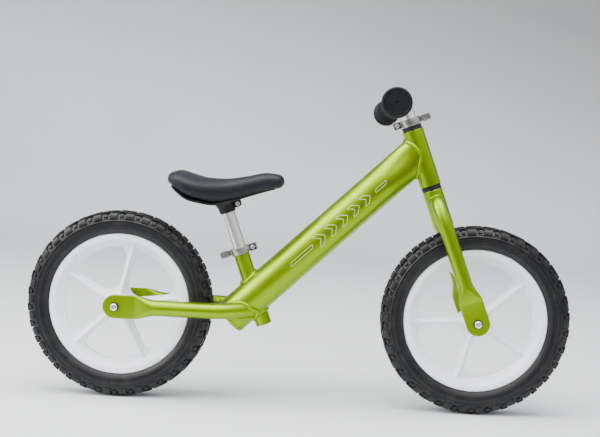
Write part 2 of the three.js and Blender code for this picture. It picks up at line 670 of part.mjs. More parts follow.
function addWheel(name, group, firstSpoke) {
  const hubEnd = HUB_HALF_WIDTH;
  const dropoutInner = DROPOUT_OUTER_Y - DROPOUT_THICKNESS;
  add(group, `${name}_tyre`, tyre(), tyreFoam());
  add(group, `${name}_rim`, rim(firstSpoke), whitePlastic());
  const axleEnd = dropoutInner - GAP;
  const axle = tube(AXLE_RADIUS - GAP, BOLT_RADIUS + GAP, -axleEnd, axleEnd, 16);
  add(group, `${name}_axle`, axle, brightSteel());
  for (const [sideName, side] of [['right', 1], ['left', -1]]) {
    const turnOver = side > 0 ? 0 : 180;
    const onSide = (body) => body.rotate([turnOver, 0, 0]);
    const bearing = tube(BEARING.outer, BEARING.bore, hubEnd - BEARING.width, hubEnd, 16);
    const spacer = tube(SPACER_RADIUS, AXLE_RADIUS + GAP, hubEnd + GAP, axleEnd, 12);
    const washerFrom = DROPOUT_OUTER_Y + GAP;
    const washer = tube(WASHER.radius, BOLT_RADIUS + GAP, washerFrom, washerFrom + WASHER.thickness, 12);
    add(group, `${name}_bearing_${sideName}`, onSide(bearing), brightSteel());
    add(group, `${name}_spacer_${sideName}`, onSide(spacer), brightSteel());
    add(group, `${name}_washer_${sideName}`, onSide(washer), brightSteel());
    add(group, `${name}_axle_bolt_${sideName}`, onSide(axleBolt()), brightSteel());
  }
}

function wheelGroup(position) {
  const group = new THREE.Group();
  group.position.set(...position);
  group.rotation.x = Math.PI / 2;
  return group;
}

const rearWheel = wheelGroup(REAR_AXLE);
const frontWheel = wheelGroup(FRONT_AXLE);
addWheel('rear', rearWheel, REAR_SPOKE_ANGLE);
addWheel('front', frontWheel, FRONT_SPOKE_ANGLE);

const balanceBike = new THREE.Group();
balanceBike.add(frame, mainLine, steerLine, seatLine, rearWheel, frontWheel);

export default balanceBike;
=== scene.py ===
import json
import math

import bmesh
import bpy
import numpy as np
from mathutils import Matrix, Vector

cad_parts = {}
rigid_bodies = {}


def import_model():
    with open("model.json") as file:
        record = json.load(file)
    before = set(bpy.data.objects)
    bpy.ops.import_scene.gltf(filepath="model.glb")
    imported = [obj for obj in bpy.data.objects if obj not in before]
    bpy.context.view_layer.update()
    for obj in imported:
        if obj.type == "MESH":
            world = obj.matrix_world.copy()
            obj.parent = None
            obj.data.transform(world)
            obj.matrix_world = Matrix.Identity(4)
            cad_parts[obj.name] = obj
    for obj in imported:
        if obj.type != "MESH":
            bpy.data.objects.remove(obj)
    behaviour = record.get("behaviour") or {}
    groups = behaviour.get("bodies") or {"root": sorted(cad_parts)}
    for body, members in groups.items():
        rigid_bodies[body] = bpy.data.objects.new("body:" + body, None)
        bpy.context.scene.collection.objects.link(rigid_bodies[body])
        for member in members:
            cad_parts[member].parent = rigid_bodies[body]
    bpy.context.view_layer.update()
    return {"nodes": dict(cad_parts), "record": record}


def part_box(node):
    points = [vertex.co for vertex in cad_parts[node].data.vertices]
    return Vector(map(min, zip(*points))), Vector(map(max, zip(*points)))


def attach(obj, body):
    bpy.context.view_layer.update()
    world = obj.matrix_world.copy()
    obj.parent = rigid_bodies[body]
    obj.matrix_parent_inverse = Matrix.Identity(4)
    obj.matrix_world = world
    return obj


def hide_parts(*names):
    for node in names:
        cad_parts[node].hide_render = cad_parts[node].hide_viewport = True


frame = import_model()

# A child's 12 inch balance bike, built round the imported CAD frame. Metres, +X forward, +Y left, +Z up.
RECORD = frame["record"]
MM = 0.001
TAU = 2 * math.pi


# ---------------- lines that the pieces are built along
def centre_of(node):
    low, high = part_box(node)
    return (np.array(low) + np.array(high)) / 2


def joint_named(name):
    return next(joint for joint in RECORD["behaviour"]["joints"] if joint["name"] == name)


class Line:
    """A straight line with its own axes: points are given as (forward, left, up) in millimetres."""

    def __init__(self, origin, up):
        self.origin = np.array(origin, float)
        self.up = np.array(up, float) / np.linalg.norm(up)
        self.left = np.array([0.0, 1.0, 0.0])
        self.axes = np.array([np.cross(self.left, self.up), self.left, self.up])

    def at(self, points):
        return self.origin + np.asarray(points, float) * MM @ self.axes

    def local(self, points):
        return (np.asarray(points, float) - self.origin) @ self.axes.T / MM


REAR_AXLE = np.array(joint_named("rear_wheel_spin")["pos_m"])
FRONT_AXLE = np.array(joint_named("front_wheel_spin")["pos_m"])
STEER = Line(FRONT_AXLE, joint_named("steer")["axis"])
SEAT_UP = np.array(joint_named("seat_height")["axis"])
SEAT_TUBE_FROM, SEAT_TUBE_TO = 138.5, 270.0  # along the seat line
SEAT = Line(centre_of("seat_tube") - SEAT_UP * (SEAT_TUBE_FROM + SEAT_TUBE_TO) / 2 * MM, SEAT_UP)
MAIN_RISE = math.radians(43.7)
MAIN_UP = np.array([math.cos(MAIN_RISE), 0.0, math.sin(MAIN_RISE)])
CAP_MIDDLE = 19.0  # along the main tube
MAIN = Line(centre_of("main_tube_cap") - MAIN_UP * CAP_MIDDLE * MM, MAIN_UP)
REAR = Line(REAR_AXLE, (0, 0, 1))
WORLD = Line((0, 0, 0), (0, 0, 1))
SIDES = {"right": -1, "left": 1}

# ---------------- sizes in millimetres
MAIN_RADIUS, MAIN_WALL = 29.0, 2.0
MAIN_FROM, MAIN_TO = 20.0, 425.0
PINCH_FROM, PINCH_TO, PINCH_HALF_WIDTH = 345.0, 415.0, 18.5
HEAD_RADIUS, HEAD_BORE, HEAD_FROM, HEAD_TO = 17.0, 15.0, 229.5, 322.8
CROWN_RADIUS, CROWN_BORE, CROWN_FROM, CROWN_TO = 16.1, 12.9, 160.0, 221.3
SEAT_TUBE_RADIUS, SEAT_TUBE_BORE = 12.9, 11.45
POST_RADIUS, POST_BORE, POST_FROM, POST_TO = 11.1, 9.5, 147.0, 343.5
STEERER_RADIUS, STEERER_BORE, STEERER_FROM, STEERER_TO = 12.7, 11.45, 162.0, 342.5
STAY_RADIUS, STAY_RISE = 12.8, 0.5
BLADE_RADIUS = 11.75
DROPOUT_RADIUS, DROPOUT_OUTER, DROPOUT_THICKNESS, DROPOUT_EDGE = 18.9, 49.0, 6.0, 1.2
STEM_FROM, BAR_HEIGHT, BAR_BACK, BAR_HALF = 223.0, 367.4, 22.0, 163.0
RIM_RADIUS = 115.4


# ---------------- mesh helpers
def unit(vectors):
    return vectors / np.maximum(np.linalg.norm(vectors, axis=-1, keepdims=True), 1e-12)


def turn_steps(count):
    """Angles evenly round a full turn."""
    return np.arange(count) * TAU / count


def arc(radius, angle, middle=(0, 0)):
    return np.stack([middle[0] + radius * np.cos(angle), middle[1] + radius * np.sin(angle)], -1)


def mesh_of(name, verts, faces):
    mesh = bpy.data.meshes.new(name)
    mesh.from_pydata(np.asarray(verts, float).tolist(), [], faces)
    return mesh


def in_scene(name, data):
    thing = bpy.data.objects.new(name, data)
    bpy.context.scene.collection.objects.link(thing)
    return thing


def finished(holder):
    """Vertices and faces of an object after its modifiers, and then the object is gone."""
    graph = bpy.context.evaluated_depsgraph_get()
    mesh = bpy.data.meshes.new_from_object(holder.evaluated_get(graph))
    parts = np.array([vert.co[:] for vert in mesh.vertices]), [list(face.vertices) for face in mesh.polygons]
    bpy.data.batch_remove([mesh, holder.data, holder])
    return parts


def add_piece(name, verts, faces, look, body, replaces=(), smooth_angle=40):
    """A visible piece riding on a body, in the material of its look; the slot that the look stands for is
    not used.
    """
    mesh = mesh_of(name, verts, faces)
    work = bmesh.new()
    work.from_mesh(mesh)
    bmesh.ops.remove_doubles(work, verts=work.verts, dist=1e-6)
    bmesh.ops.dissolve_degenerate(work, dist=1e-7, edges=work.edges)
    bmesh.ops.recalc_face_normals(work, faces=work.faces)
    limit = math.radians(smooth_angle)
    for face in work.faces:
        face.smooth = True
    for edge in work.edges:
        edge.smooth = len(edge.link_faces) == 2 and edge.calc_face_angle(0) < limit
    work.to_mesh(mesh)
    work.free()
    mesh.materials.append(look[0])
    piece = in_scene(name, mesh)
    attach(piece, body)
    if replaces:
        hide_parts(*replaces)
    return piece


def add_skin(node, parts, look, body, smooth_angle=40):
    """The visible piece for one CAD node, named after it."""
    return add_piece(node + "_skin", *parts, look, body, [node], smooth_angle)


def grid_faces(rows, columns, wrap=True):
    """Quads over a grid of vertices, each row closing on itself where wrap is set."""
    row, column = np.mgrid[:rows - 1, :columns if wrap else columns - 1]
    here, right = row * columns + column, row * columns + (column + 1) % columns
    return np.stack([here, right, right + columns, here + columns], -1).reshape(-1, 4).tolist()


def lofted(rings, ends="closed"):
    """Vertices and faces of a skin over rings: capped at both ends, left open, or joined as a loop."""
    rings = np.asarray(rings, float)
    rows, columns, _ = rings.shape
    faces = grid_faces(rows, columns)
    last = (rows - 1) * columns
    if ends == "closed":
        faces += [list(range(columns))[::-1], list(range(last, last + columns))]
    if ends == "loop":
        faces += [[last + c, last + (c + 1) % columns, (c + 1) % columns, c] for c in range(columns)]
    return rings.reshape(-1, 3), faces


def bezier(start, control, end, count=16):
    t = np.linspace(0, 1, count)[:, None]
    start, control, end = (np.array(point, float) for point in (start, control, end))
    return (1 - t) ** 2 * start + 2 * t * (1 - t) * control + t ** 2 * end


def filleted(outline, steps=4):
    """Rounds the corners of a (radius, height, fillet) outline into arcs of points."""
    corners = np.array([point[:2] for point in outline], float)
    points = []
    for index, (_, _, fillet) in enumerate(outline):
        here = corners[index]
        if fillet <= 0:
            points.append([here])
            continue
        before, after = corners[index - 1] - here, corners[(index + 1) % len(outline)] - here
        reach = min(fillet, np.linalg.norm(before) * 0.49, np.linalg.norm(after) * 0.49)
        points.append(bezier(here + unit(before) * reach, here, here + unit(after) * reach, steps + 1))
    return np.vstack(points)


def rounded_loop(corners, radius):
    """A closed outline with its corners rounded off."""
    return filleted([(x, y, radius) for x, y in corners], 7)


def turned(outline, line, segments=96, steps=4, across=None):
    """A (radius, height, fillet) outline turned about a line's up axis, or about its left axis."""
    profile = filleted(outline, steps)
    angles = turn_steps(segments)
    radius, height = profile[:, :1], profile[:, 1:] + 0 * angles
    first, second = radius * np.cos(angles), radius * np.sin(angles)
    if across is None:
        points = np.stack([first, second, height], -1)
    else:
        points = np.stack([across[0] + first, height, across[1] + second], -1)
    on_axis = profile[0][0] == 0 and profile[-1][0] == 0
    return lofted(line.at(points), "open" if on_axis else "loop")


def tube_outline(radius, bore, low, high, edge=0.5):
    return [(bore, low, edge), (radius, low, edge), (radius, high, edge), (bore, high, edge)]


def rod_outline(radius, low, high, edge=0.5):
    return [(0, low, 0), (radius, low, edge), (radius, high, edge), (0, high, 0)]


def untwisted(normals, tangent):
    """Spreads the twist left over at the seam of a closed path along its whole length."""
    carried = unit(normals[-1] - tangent[0] * normals[-1].dot(tangent[0]))
    gap = math.atan2(np.cross(carried, normals[0]).dot(tangent[0]), carried.dot(normals[0]))
    angle = gap * np.linspace(0, 1, len(normals))[:, None]
    return normals * np.cos(angle) + np.cross(tangent, normals) * np.sin(angle)


def swept_ring(points, radius, sides=24, closed=False):
    """Rings of a round section along a path of points; radius may vary from point to point."""
    points = np.asarray(points, float)
    if closed:
        tangent = unit(np.roll(points, -1, 0) - np.roll(points, 1, 0))
    else:
        tangent = unit(np.vstack([points[1:], points[-1:]]) - np.vstack([points[:1], points[:-1]]))
    normal = np.cross(tangent[0], [0.1, 0.9, 0.35])
    normals = []
    for direction in tangent:
        normal = unit(normal - direction * normal.dot(direction))
        normals.append(normal)
    normals = np.array(normals)
    if closed:
        normals = untwisted(normals, tangent)
    angles = turn_steps(sides)[None, :, None]
    radii = np.broadcast_to(radius, len(points))[:, None, None]
    spin = normals[:, None] * np.cos(angles) + np.cross(tangent, normals)[:, None] * np.sin(angles)
    return points[:, None] + radii * spin


def smooth_path(points, count):
    """A Catmull-Rom curve through the points, sampled evenly by parameter."""
    points = np.asarray(points, float)
    padded = np.vstack([2 * points[0] - points[1], points, 2 * points[-1] - points[-2]])
    samples = []
    for place in np.linspace(0, len(points) - 1, count):
        index = min(int(place), len(points) - 2)
        t = place - index
        a, b, c, d = padded[index:index + 4]
        samples.append(0.5 * (2 * b + (c - a) * t + (2 * a - 5 * b + 4 * c - d) * t ** 2
                              + (3 * b - a - 3 * c + d) * t ** 3))
    return np.array(samples)


def evenly_round(points, spacing):
    """A closed path resampled at even distances."""
    closed = np.vstack([points, points[:1]])
    lengths = running_length(closed)
    count = int(lengths[-1] / spacing)
    places = np.arange(count) * lengths[-1] / count
    return np.stack([np.interp(places, lengths, closed[:, axis]) for axis in range(closed.shape[1])], -1)


def running_length(points):
    return np.concatenate([[0], np.cumsum(np.linalg.norm(np.diff(points, axis=0), axis=1))])


def smoothstep(value, low, high):
    t = np.clip((np.asarray(value, float) - low) / (high - low), 0, 1)
    return t * t * (3 - 2 * t)


def combined(*parts):
    """Several (vertices, faces) pairs as one."""
    verts, faces, start = [], [], 0
    for part_verts, part_faces in parts:
        verts.append(np.asarray(part_verts, float))
        faces += [[index + start for index in face] for face in part_faces]
        start += len(part_verts)
    return np.vstack(verts), faces


# ---------------- materials
def add_node(tree, kind, links=None, values=None, **settings):
    node = tree.nodes.new(kind)
    for key, value in settings.items():
        setattr(node, key, value)
    for key, value in (values or {}).items():
        node.inputs[key].default_value = value
    for key, source in (links or {}).items():
        tree.links.new(source, node.inputs[key])
    return node


class Shader:
    """A Principled material whose textures are laid out in object space, in metres."""

    def __init__(self, name, **sockets):
        self.material = bpy.data.materials.new(name)
        self.material.use_nodes = True
        self.tree = self.material.node_tree
        self.surface = self.tree.nodes["Principled BSDF"]
        self.position = self.add("ShaderNodeTexCoord").outputs["Object"]
        for socket, value in sockets.items():
            self.surface.inputs[socket.replace("_", " ")].default_value = value

    def add(self, kind, links=None, values=None, **settings):
        return add_node(self.tree, kind, links, values, **settings)

    def into(self, socket, source):
        self.tree.links.new(source, self.surface.inputs[socket])

    def noise(self, scale, detail=3.0, roughness=0.55):
        values = {"Scale": scale, "Detail": detail, "Roughness": roughness}
        return self.add("ShaderNodeTexNoise", {"Vector": self.position}, values).outputs["Fac"]

    def along(self, axis):
        return self.add("ShaderNodeVectorMath", {0: self.position}, {1: tuple(axis)},
                        operation="DOT_PRODUCT").outputs["Value"]

    def lines_along(self, axis, scale, detail=4.0):
        """Noise that only changes along one axis, as a lathe or a brush leaves it."""
        return self.add("ShaderNodeTexNoise", {"W": self.along(axis)}, {"Scale": scale, "Detail": detail},
                        noise_dimensions="1D").outputs["Fac"]

    def cells(self, scale, feature="F1"):
        return self.add("ShaderNodeTexVoronoi", {"Vector": self.position}, {"Scale": scale},
                        feature=feature).outputs["Distance"]

    def ramp(self, source, low, high, start=0.0, end=1.0):
        values = {"From Min": low, "From Max": high, "To Min": start, "To Max": end}
        return self.add("ShaderNodeMapRange", {"Value": source}, values).outputs["Result"]

    def blend(self, amount, first, second):
        node = self.add("ShaderNodeMix", {"Factor": amount}, data_type="RGBA")
        for name, colour in (("A", first), ("B", second)):
            socket = [item for item in node.inputs if item.name == name and item.type == "RGBA"][0]
            if isinstance(colour, tuple):
                socket.default_value = (*colour, 1)
            else:
                self.tree.links.new(colour, socket)
        return [item for item in node.outputs if item.type == "RGBA"][0]

    def roughness(self, source, low, high):
        self.into("Roughness", self.ramp(source, 0.3, 0.7, low, high))

    def bump(self, source, distance, strength):
        """Adds a fine relief on top of any that is there already."""
        below = self.surface.inputs["Normal"].links
        links = {"Height": source}
        if below:
            links["Normal"] = below[0].from_socket
        node = self.add("ShaderNodeBump", links, {"Distance": distance, "Strength": strength})
        self.into("Normal", node.outputs["Normal"])


def lime_paint():
    shader = Shader("lime_paint", Metallic=0.94, Coat_Weight=0.05, Coat_Roughness=0.2)
    fleck = shader.noise(2600, 2, 0.7)
    tone = shader.blend(shader.ramp(shader.noise(9, 3), 0.3, 0.7), (0.175, 0.30, 0.0), (0.21, 0.34, 0.0))
    glint = shader.ramp(fleck, 0.35, 0.75, 0.0, 0.35)
    shader.into("Base Color", shader.blend(glint, tone, (0.40, 0.56, 0.004)))
    shader.roughness(shader.noise(60, 4), 0.34, 0.4)
    shader.bump(fleck, 0.00002, 0.5)
    shader.bump(shader.noise(140, 2), 0.0001, 0.04)
    return shader.material


def two_toned(name, mottle, ends, tones, rough, shine, reliefs, **sockets):
    """Two tones run together by a mottle, and an uneven shine. Noises are scale, detail and roughness."""
    shader = Shader(name, **sockets)
    shader.into("Base Color", shader.blend(shader.ramp(shader.noise(*mottle), *ends), *tones))
    shader.roughness(shader.noise(*rough), *shine)
    for noise, depth, strength in reliefs:
        shader.bump(shader.noise(*noise), depth, strength)
    return shader.material


def white_plastic():
    return two_toned("white_plastic", (45, 6, 0.7), (0.52, 0.72), ((0.90, 0.91, 0.95), (0.85, 0.86, 0.88)),
                     (300, 3), (0.34, 0.46), [((900, 3), 0.00003, 0.35), ((30, 2), 0.0004, 0.1)],
                     IOR=1.49, Subsurface_Weight=0.08, Subsurface_Scale=0.004,
                     Subsurface_Radius=(1.0, 0.9, 0.85))


def tyre_foam():
    shader = Shader("tyre_foam", Specular_IOR_Level=0.3)
    grain = shader.noise(1700, 3, 0.7)
    dust = shader.ramp(shader.noise(38, 6, 0.68), 0.5, 0.78)
    base = shader.blend(shader.ramp(grain, 0.3, 0.7), (0.005, 0.005, 0.0055), (0.010, 0.010, 0.011))
    shader.into("Base Color", shader.blend(dust, base, (0.022, 0.0215, 0.021)))
    shader.roughness(shader.noise(110, 4), 0.34, 0.5)
    shader.bump(grain, 0.00012, 0.35)
    shader.bump(shader.cells(520), 0.00015, 0.2)
    return shader.material


def black_plastic():
    return two_toned("black_plastic", (60, 5), (0.45, 0.75), ((0.005, 0.005, 0.006), (0.012, 0.012, 0.013)),
                     (1500, 2), (0.4, 0.55), [((1500, 2), 0.00006, 0.4)], Specular_IOR_Level=0.3)


def grip_rubber():
    tones = ((0.004, 0.0045, 0.0055), (0.010, 0.011, 0.013))
    return two_toned("grip_rubber", (70, 5, 0.7), (0.5, 0.75), tones, (1300, 3, 0.6), (0.5, 0.66),
                     [((1300, 3, 0.6), 0.0001, 0.4)], Specular_IOR_Level=0.26)


def saddle_skin():
    shader = Shader("saddle_skin", Specular_IOR_Level=0.24)
    crease = shader.noise(240, 4, 0.6)
    tone = shader.ramp(crease, 0.35, 0.7)
    shader.into("Base Color", shader.blend(tone, (0.007, 0.0078, 0.010), (0.013, 0.0145, 0.018)))
    shader.roughness(shader.noise(90, 4), 0.42, 0.54)
    shader.bump(shader.cells(760, "SMOOTH_F1"), 0.00016, 0.35)
    shader.bump(crease, 0.00012, 0.2)
    return shader.material


def satin_steel(name, axis, base=(0.88, 0.87, 0.83)):
    shader = Shader(name, Metallic=1.0)
    rings = shader.lines_along(axis, 2600)
    worn = tuple(0.86 * value for value in base)
    shader.into("Base Color", shader.blend(shader.ramp(shader.noise(35, 5, 0.6), 0.4, 0.75), base, worn))
    shader.roughness(rings, 0.26, 0.36)
    shader.bump(rings, 0.00002, 0.4)
    shader.bump(shader.noise(1400, 2), 0.00003, 0.25)
    return shader.material


def bright_steel():
    return two_toned("bright_steel", (180, 5, 0.65), (0.45, 0.75), ((0.86, 0.86, 0.85), (0.66, 0.65, 0.63)),
                     (500, 3), (0.16, 0.3), [((900, 3), 0.00004, 0.3)], Metallic=1.0)


def pale_ink():
    return two_toned("pale_ink", (420, 4, 0.7), (0.45, 0.8), ((0.60, 0.74, 0.30), (0.46, 0.62, 0.14)),
                     (800, 2), (0.36, 0.5), [((1600, 2), 0.00002, 0.3)], Metallic=0.15)


# A look is a material and the record's slot that it stands for.
LIME = (lime_paint(), "lime_paint")
WHITE = (white_plastic(), "white_plastic")
FOAM = (tyre_foam(), "tyre_foam")
BLACK = (black_plastic(), "black_plastic")
RUBBER = (grip_rubber(), "grip_rubber")
SKIN = (saddle_skin(), "saddle_cover")
BRIGHT = (bright_steel(), "bright_steel")
INK = (pale_ink(), LIME[1])
BLACKENED = (BLACK[0], BRIGHT[1])
STEEL_SEAT = (satin_steel("satin_steel_seat", SEAT.up), "satin_steel")
STEEL_STEER = (satin_steel("satin_steel_steer", STEER.up), "satin_steel")
STEEL_BAR = (satin_steel("satin_steel_bar", (0, 1, 0)), "satin_steel")
# Painted shade: the clamps get the same satin steel with its base colour darkened, as by shade.
STEEL_CLAMP_SHADED = (satin_steel("satin_steel_clamp_shaded", (0.3, 0.2, 0.9), (0.42, 0.41, 0.39)), "satin_steel")
LOOKS = (LIME, WHITE, FOAM, BLACK, RUBBER, SKIN, BRIGHT, STEEL_SEAT)
SLOT_MATERIALS = {slot: material for material, slot in LOOKS}
for part in RECORD["subparts"]:
    for slot in frame["nodes"][part["node"]].material_slots:
        slot.material = SLOT_MATERIALS[part["material_slot"]]


# ---------------- main tube, head tube, seat tube
def main_point(along, angle, radius=MAIN_RADIUS):
    """A point of the main tube, at an angle from its underside towards the left; it narrows at the head."""
    narrow = radius - (MAIN_RADIUS - PINCH_HALF_WIDTH) * smoothstep(along, PINCH_FROM, PINCH_TO)
    return MAIN.at(np.stack(np.broadcast_arrays(radius * np.cos(angle), narrow * np.sin(angle), along), -1))


def bisected(inside, low, high, rounds=26):
    """For each entry, the place between low (outside) and high (inside) where the test first holds."""
    low, high = np.array(low, float), np.array(high, float)
    for _ in range(rounds):
        middle = (low + high) / 2
        hit = inside(middle)
        low, high = np.where(hit, low, middle), np.where(hit, middle, high)
    return high


def off_line(line, points):
    """How far points are from a line, in millimetres."""
    local = line.local(points)
    return np.hypot(local[..., 0], local[..., 1])


def main_end(angle, radius, reach):
    """How far along the main tube's skin goes before it lands on the head tube."""
    def inside(along):
        points = main_point(along, angle, radius)
        return (off_line(STEER, points) < reach) | (STEER.local(points)[..., 0] > 0)
    return bisected(inside, np.full_like(angle, PINCH_FROM), np.full_like(angle, MAIN_TO))


def add_main_tube():
    angle = turn_steps(160)
    steps = np.concatenate([np.linspace(0, 0.78, 24), np.linspace(0.79, 1, 56)])
    skins = []
    for radius in (MAIN_RADIUS, MAIN_RADIUS - MAIN_WALL):
        reach = main_end(angle, radius, HEAD_RADIUS - 0.6) - MAIN_FROM
        skins.append([main_point(MAIN_FROM + reach * step, angle, radius) for step in steps])
    outer, inner = skins
    rounding = 0.5
    outer[0] = main_point(MAIN_FROM + rounding, angle)
    edge = main_point(MAIN_FROM, angle, MAIN_RADIUS - rounding)
    add_skin("main_tube", lofted([edge, *outer, *inner[::-1]], "loop"), LIME, "frame")
    cap_top, spigot = MAIN_FROM - 0.25, 26.6
    cap = [(0, 14, 0), (MAIN_RADIUS, 14, 7), (MAIN_RADIUS, cap_top, 0.5), (spigot, cap_top, 0),
           (spigot, 24, 0.5), (0, 24, 0)]
    add_piece("main_tube_end", *turned(cap, MAIN, 120, 12), LIME, "frame", ["main_tube_cap"])
    head = tube_outline(HEAD_RADIUS, HEAD_BORE, HEAD_FROM, HEAD_TO, 0.7)
    add_skin("head_tube", turned(head, STEER, 120), LIME, "frame")
    seat = tube_outline(SEAT_TUBE_RADIUS, SEAT_TUBE_BORE, SEAT_TUBE_FROM, SEAT_TUBE_TO, 0.6)
    add_skin("seat_tube", turned(seat, SEAT, 112), LIME, "frame")


def softened(points, rounds):
    for _ in range(rounds):
        points = (np.roll(points, 1, 0) + 2 * points + np.roll(points, -1, 0)) / 4
    return points


BEAD_SPACING, BEAD_PULSE = 0.6, 3.4


def add_weld(name, path, radius, body, look=LIME, rounds=24):
    """A bead along a closed path: a round section whose size wanders a little, pulse by pulse."""
    path = softened(evenly_round(path, BEAD_SPACING * MM), rounds)
    turn = turn_steps(len(path))
    pulses = round(len(path) * BEAD_SPACING / BEAD_PULSE)
    wander = 0.04 * np.sin(3 * turn + radius) + 0.03 * np.sin(7 * turn + 1)
    ripple = 1 + 0.035 * np.sin(pulses * turn) + wander
    rings = swept_ring(path, radius * MM * ripple, 20, closed=True)
    add_piece(name, *lofted(rings, "loop"), look, body, smooth_angle=70)


def seat_weld_path(low, high):
    """Where the seat tube goes through the main tube's skin, between two heights on the seat line."""
    angle = turn_steps(240)

    def skin(along):
        return SEAT.at(np.column_stack([arc(SEAT_TUBE_RADIUS, angle), along]))
    return skin(bisected(lambda along: off_line(MAIN, skin(along)) < MAIN_RADIUS,
                         np.full_like(angle, low), np.full_like(angle, high)))


def add_frame_welds():
    angle = turn_steps(320)
    path = main_point(main_end(angle, MAIN_RADIUS, HEAD_RADIUS + 0.5), angle, MAIN_RADIUS + 0.3)
    add_weld("head_weld", path, 3.5, "frame", rounds=130)
    above = MAIN.local(SEAT.at([0, 0, 190]))[2]
    crossing = SEAT.local(MAIN.at([0, 0, above]))[2]
    add_weld("seat_weld_upper", seat_weld_path(crossing + 70, crossing), 4.1, "frame")
    add_weld("seat_weld_lower", seat_weld_path(crossing - 60, crossing), 3.4, "frame")


add_main_tube()
add_frame_welds()


# ---------------- stays and fork blades
def dropout_stations(radius, flat_to, round_from, round_at, bend):
    """Along, sideways, half width, half thickness and edge rounding of a tube pressed flat round an axle."""
    half = DROPOUT_THICKNESS / 2
    plate = DROPOUT_OUTER - half
    rows = []
    for turn in np.radians(np.linspace(-88, 0, 22)):
        along, width = DROPOUT_RADIUS * math.sin(turn), DROPOUT_RADIUS * math.cos(turn)
        rows.append((along, plate, width, half, DROPOUT_EDGE))
    for progress in np.linspace(0, 1, 26):
        eased = float(smoothstep(progress, 0, 1))
        swell = eased ** 0.6
        width = DROPOUT_RADIUS + (radius - DROPOUT_RADIUS) * eased
        thick = half + (radius - half) * swell
        corner = DROPOUT_EDGE + (radius - DROPOUT_EDGE) * min(1.0, 1.25 * swell)
        rows.append((flat_to + (round_from - flat_to) * progress, plate + (round_at - plate) * eased,
                     width, thick, corner))
    for along, sideways in smooth_path([(round_from, round_at)] + bend, 60)[1:]:
        rows.append((along, sideways, radius, radius, radius))
    return np.array(rows)


def rounded_section(width, depth, corner, angle):
    """Points round a rounded rectangle, spread so that its corners get their share of them."""
    corner = min(corner, width, depth)
    quarter = np.floor(angle / (math.pi / 2)).astype(int)
    share = angle / (math.pi / 2) - quarter
    share = np.where(quarter % 2 == 0, share, 1 - share)
    turn = np.clip((share - 0.2) / 0.6, 0, 1) * math.pi / 2
    x = (width - corner) * (1 - np.clip((share - 0.8) / 0.2, 0, 1)) + corner * np.cos(turn)
    y = (depth - corner) * np.clip(share / 0.2, 0, 1) + corner * np.sin(turn)
    return np.where((quarter == 0) | (quarter == 3), x, -x), np.where(quarter < 2, y, -y)


def tube_sampler(stations, place, columns):
    """A function giving one point per column, each column at its own distance down the list of stations."""
    tangent = unit(np.gradient(stations[:, :2], axis=0))
    angle = (np.arange(columns) + 0.5) * TAU / columns
    grid = []
    for (along, sideways, width, depth, corner), (step_along, step_side) in zip(stations, tangent):
        if width == depth:
            wide, deep = width * np.cos(angle), depth * np.sin(angle)
        else:
            wide, deep = rounded_section(width, depth, corner, angle)
        grid.append(place(along - step_side * deep, sideways + step_along * deep, wide))
    grid = np.array(grid)
    rows = len(grid)
    column = np.arange(columns)

    def sample(position):
        position = np.clip(position, 0, rows - 1.000001)
        row = position.astype(int)
        part = (position - row)[:, None]
        return grid[row, column] * (1 - part) + grid[row + 1, column] * part
    return sample, rows


def trimmed_tube(stations, place, other, other_radius, columns=96):
    """The tube's rings, each column stopping just inside another tube's skin, and the line of meeting."""
    sample, rows = tube_sampler(stations, place, columns)
    plain_rows = 70
    first, last = np.full(columns, float(plain_rows)), np.full(columns, rows - 1.0)

    def reaching(depth):
        limit = other_radius - depth
        return bisected(lambda position: off_line(other, sample(position)) < limit, first, last)
    end = reaching(0.6)
    rings = [sample(np.full(columns, float(row))) for row in range(plain_rows)]
    rings += [sample(plain_rows + (end - plain_rows) * step) for step in np.linspace(0, 1, 46)]
    return rings, sample(reaching(0.0))


STAY_STATIONS = dropout_stations(STAY_RADIUS, 32, 66, 44.5, [
    (150, 45), (165, 43.5), (180, 38), (195, 29), (208, 19.5), (220, 10)])
BLADE_STATIONS = dropout_stations(BLADE_RADIUS, 34, 66, 42.5, [
    (120, 42.5), (150, 42), (168, 40.5), (183, 36.5), (194, 30), (199.5, 22), (200.5, 12)])


def add_stay(side_name, side):
    def place(along, sideways, wide):
        return REAR.at(np.stack([along, side * sideways, STAY_RISE - side * wide], -1))
    rings, meeting = trimmed_tube(STAY_STATIONS, place, MAIN, MAIN_RADIUS)
    add_skin(side_name + "_chain_stay", lofted(rings), LIME, "frame")
    add_weld(side_name + "_stay_weld", meeting, 4.0, "frame")


def add_blade(side_name, side):
    def place(along, sideways, wide):
        return STEER.at(np.stack([side * wide, side * sideways, along], -1))
    rings, meeting = trimmed_tube(BLADE_STATIONS, place, STEER, CROWN_RADIUS)
    add_skin(side_name + "_fork_blade", lofted(rings), LIME, "fork")
    add_weld(side_name + "_blade_weld", meeting, 2.0, "fork")


for side_name, side in SIDES.items():
    add_stay(side_name, side)
    add_blade(side_name, side)


# ---------------- crown, headset bushes, seat post, steerer
def add_bush(name, face, outward):
    """A flanged bush: its flange stands on the head tube's end, its sleeve goes down the bore."""
    outline = [(12.9, -16, 0.4), (14.7, -16, 0.8), (14.7, 0, 0), (16.0, 0, 0.3), (16.0, 2.6, 0.25),
               (15.5, 2.9, 0.2), (15.5, 3.5, 0.2), (16.0, 3.8, 0.25), (16.0, 7.6, 1.3), (12.9, 7.6, 0.5)]
    placed = [(radius, face + outward * height, fillet) for radius, height, fillet in outline]
    add_skin(name, turned(placed, STEER, 112), BLACK, "frame")


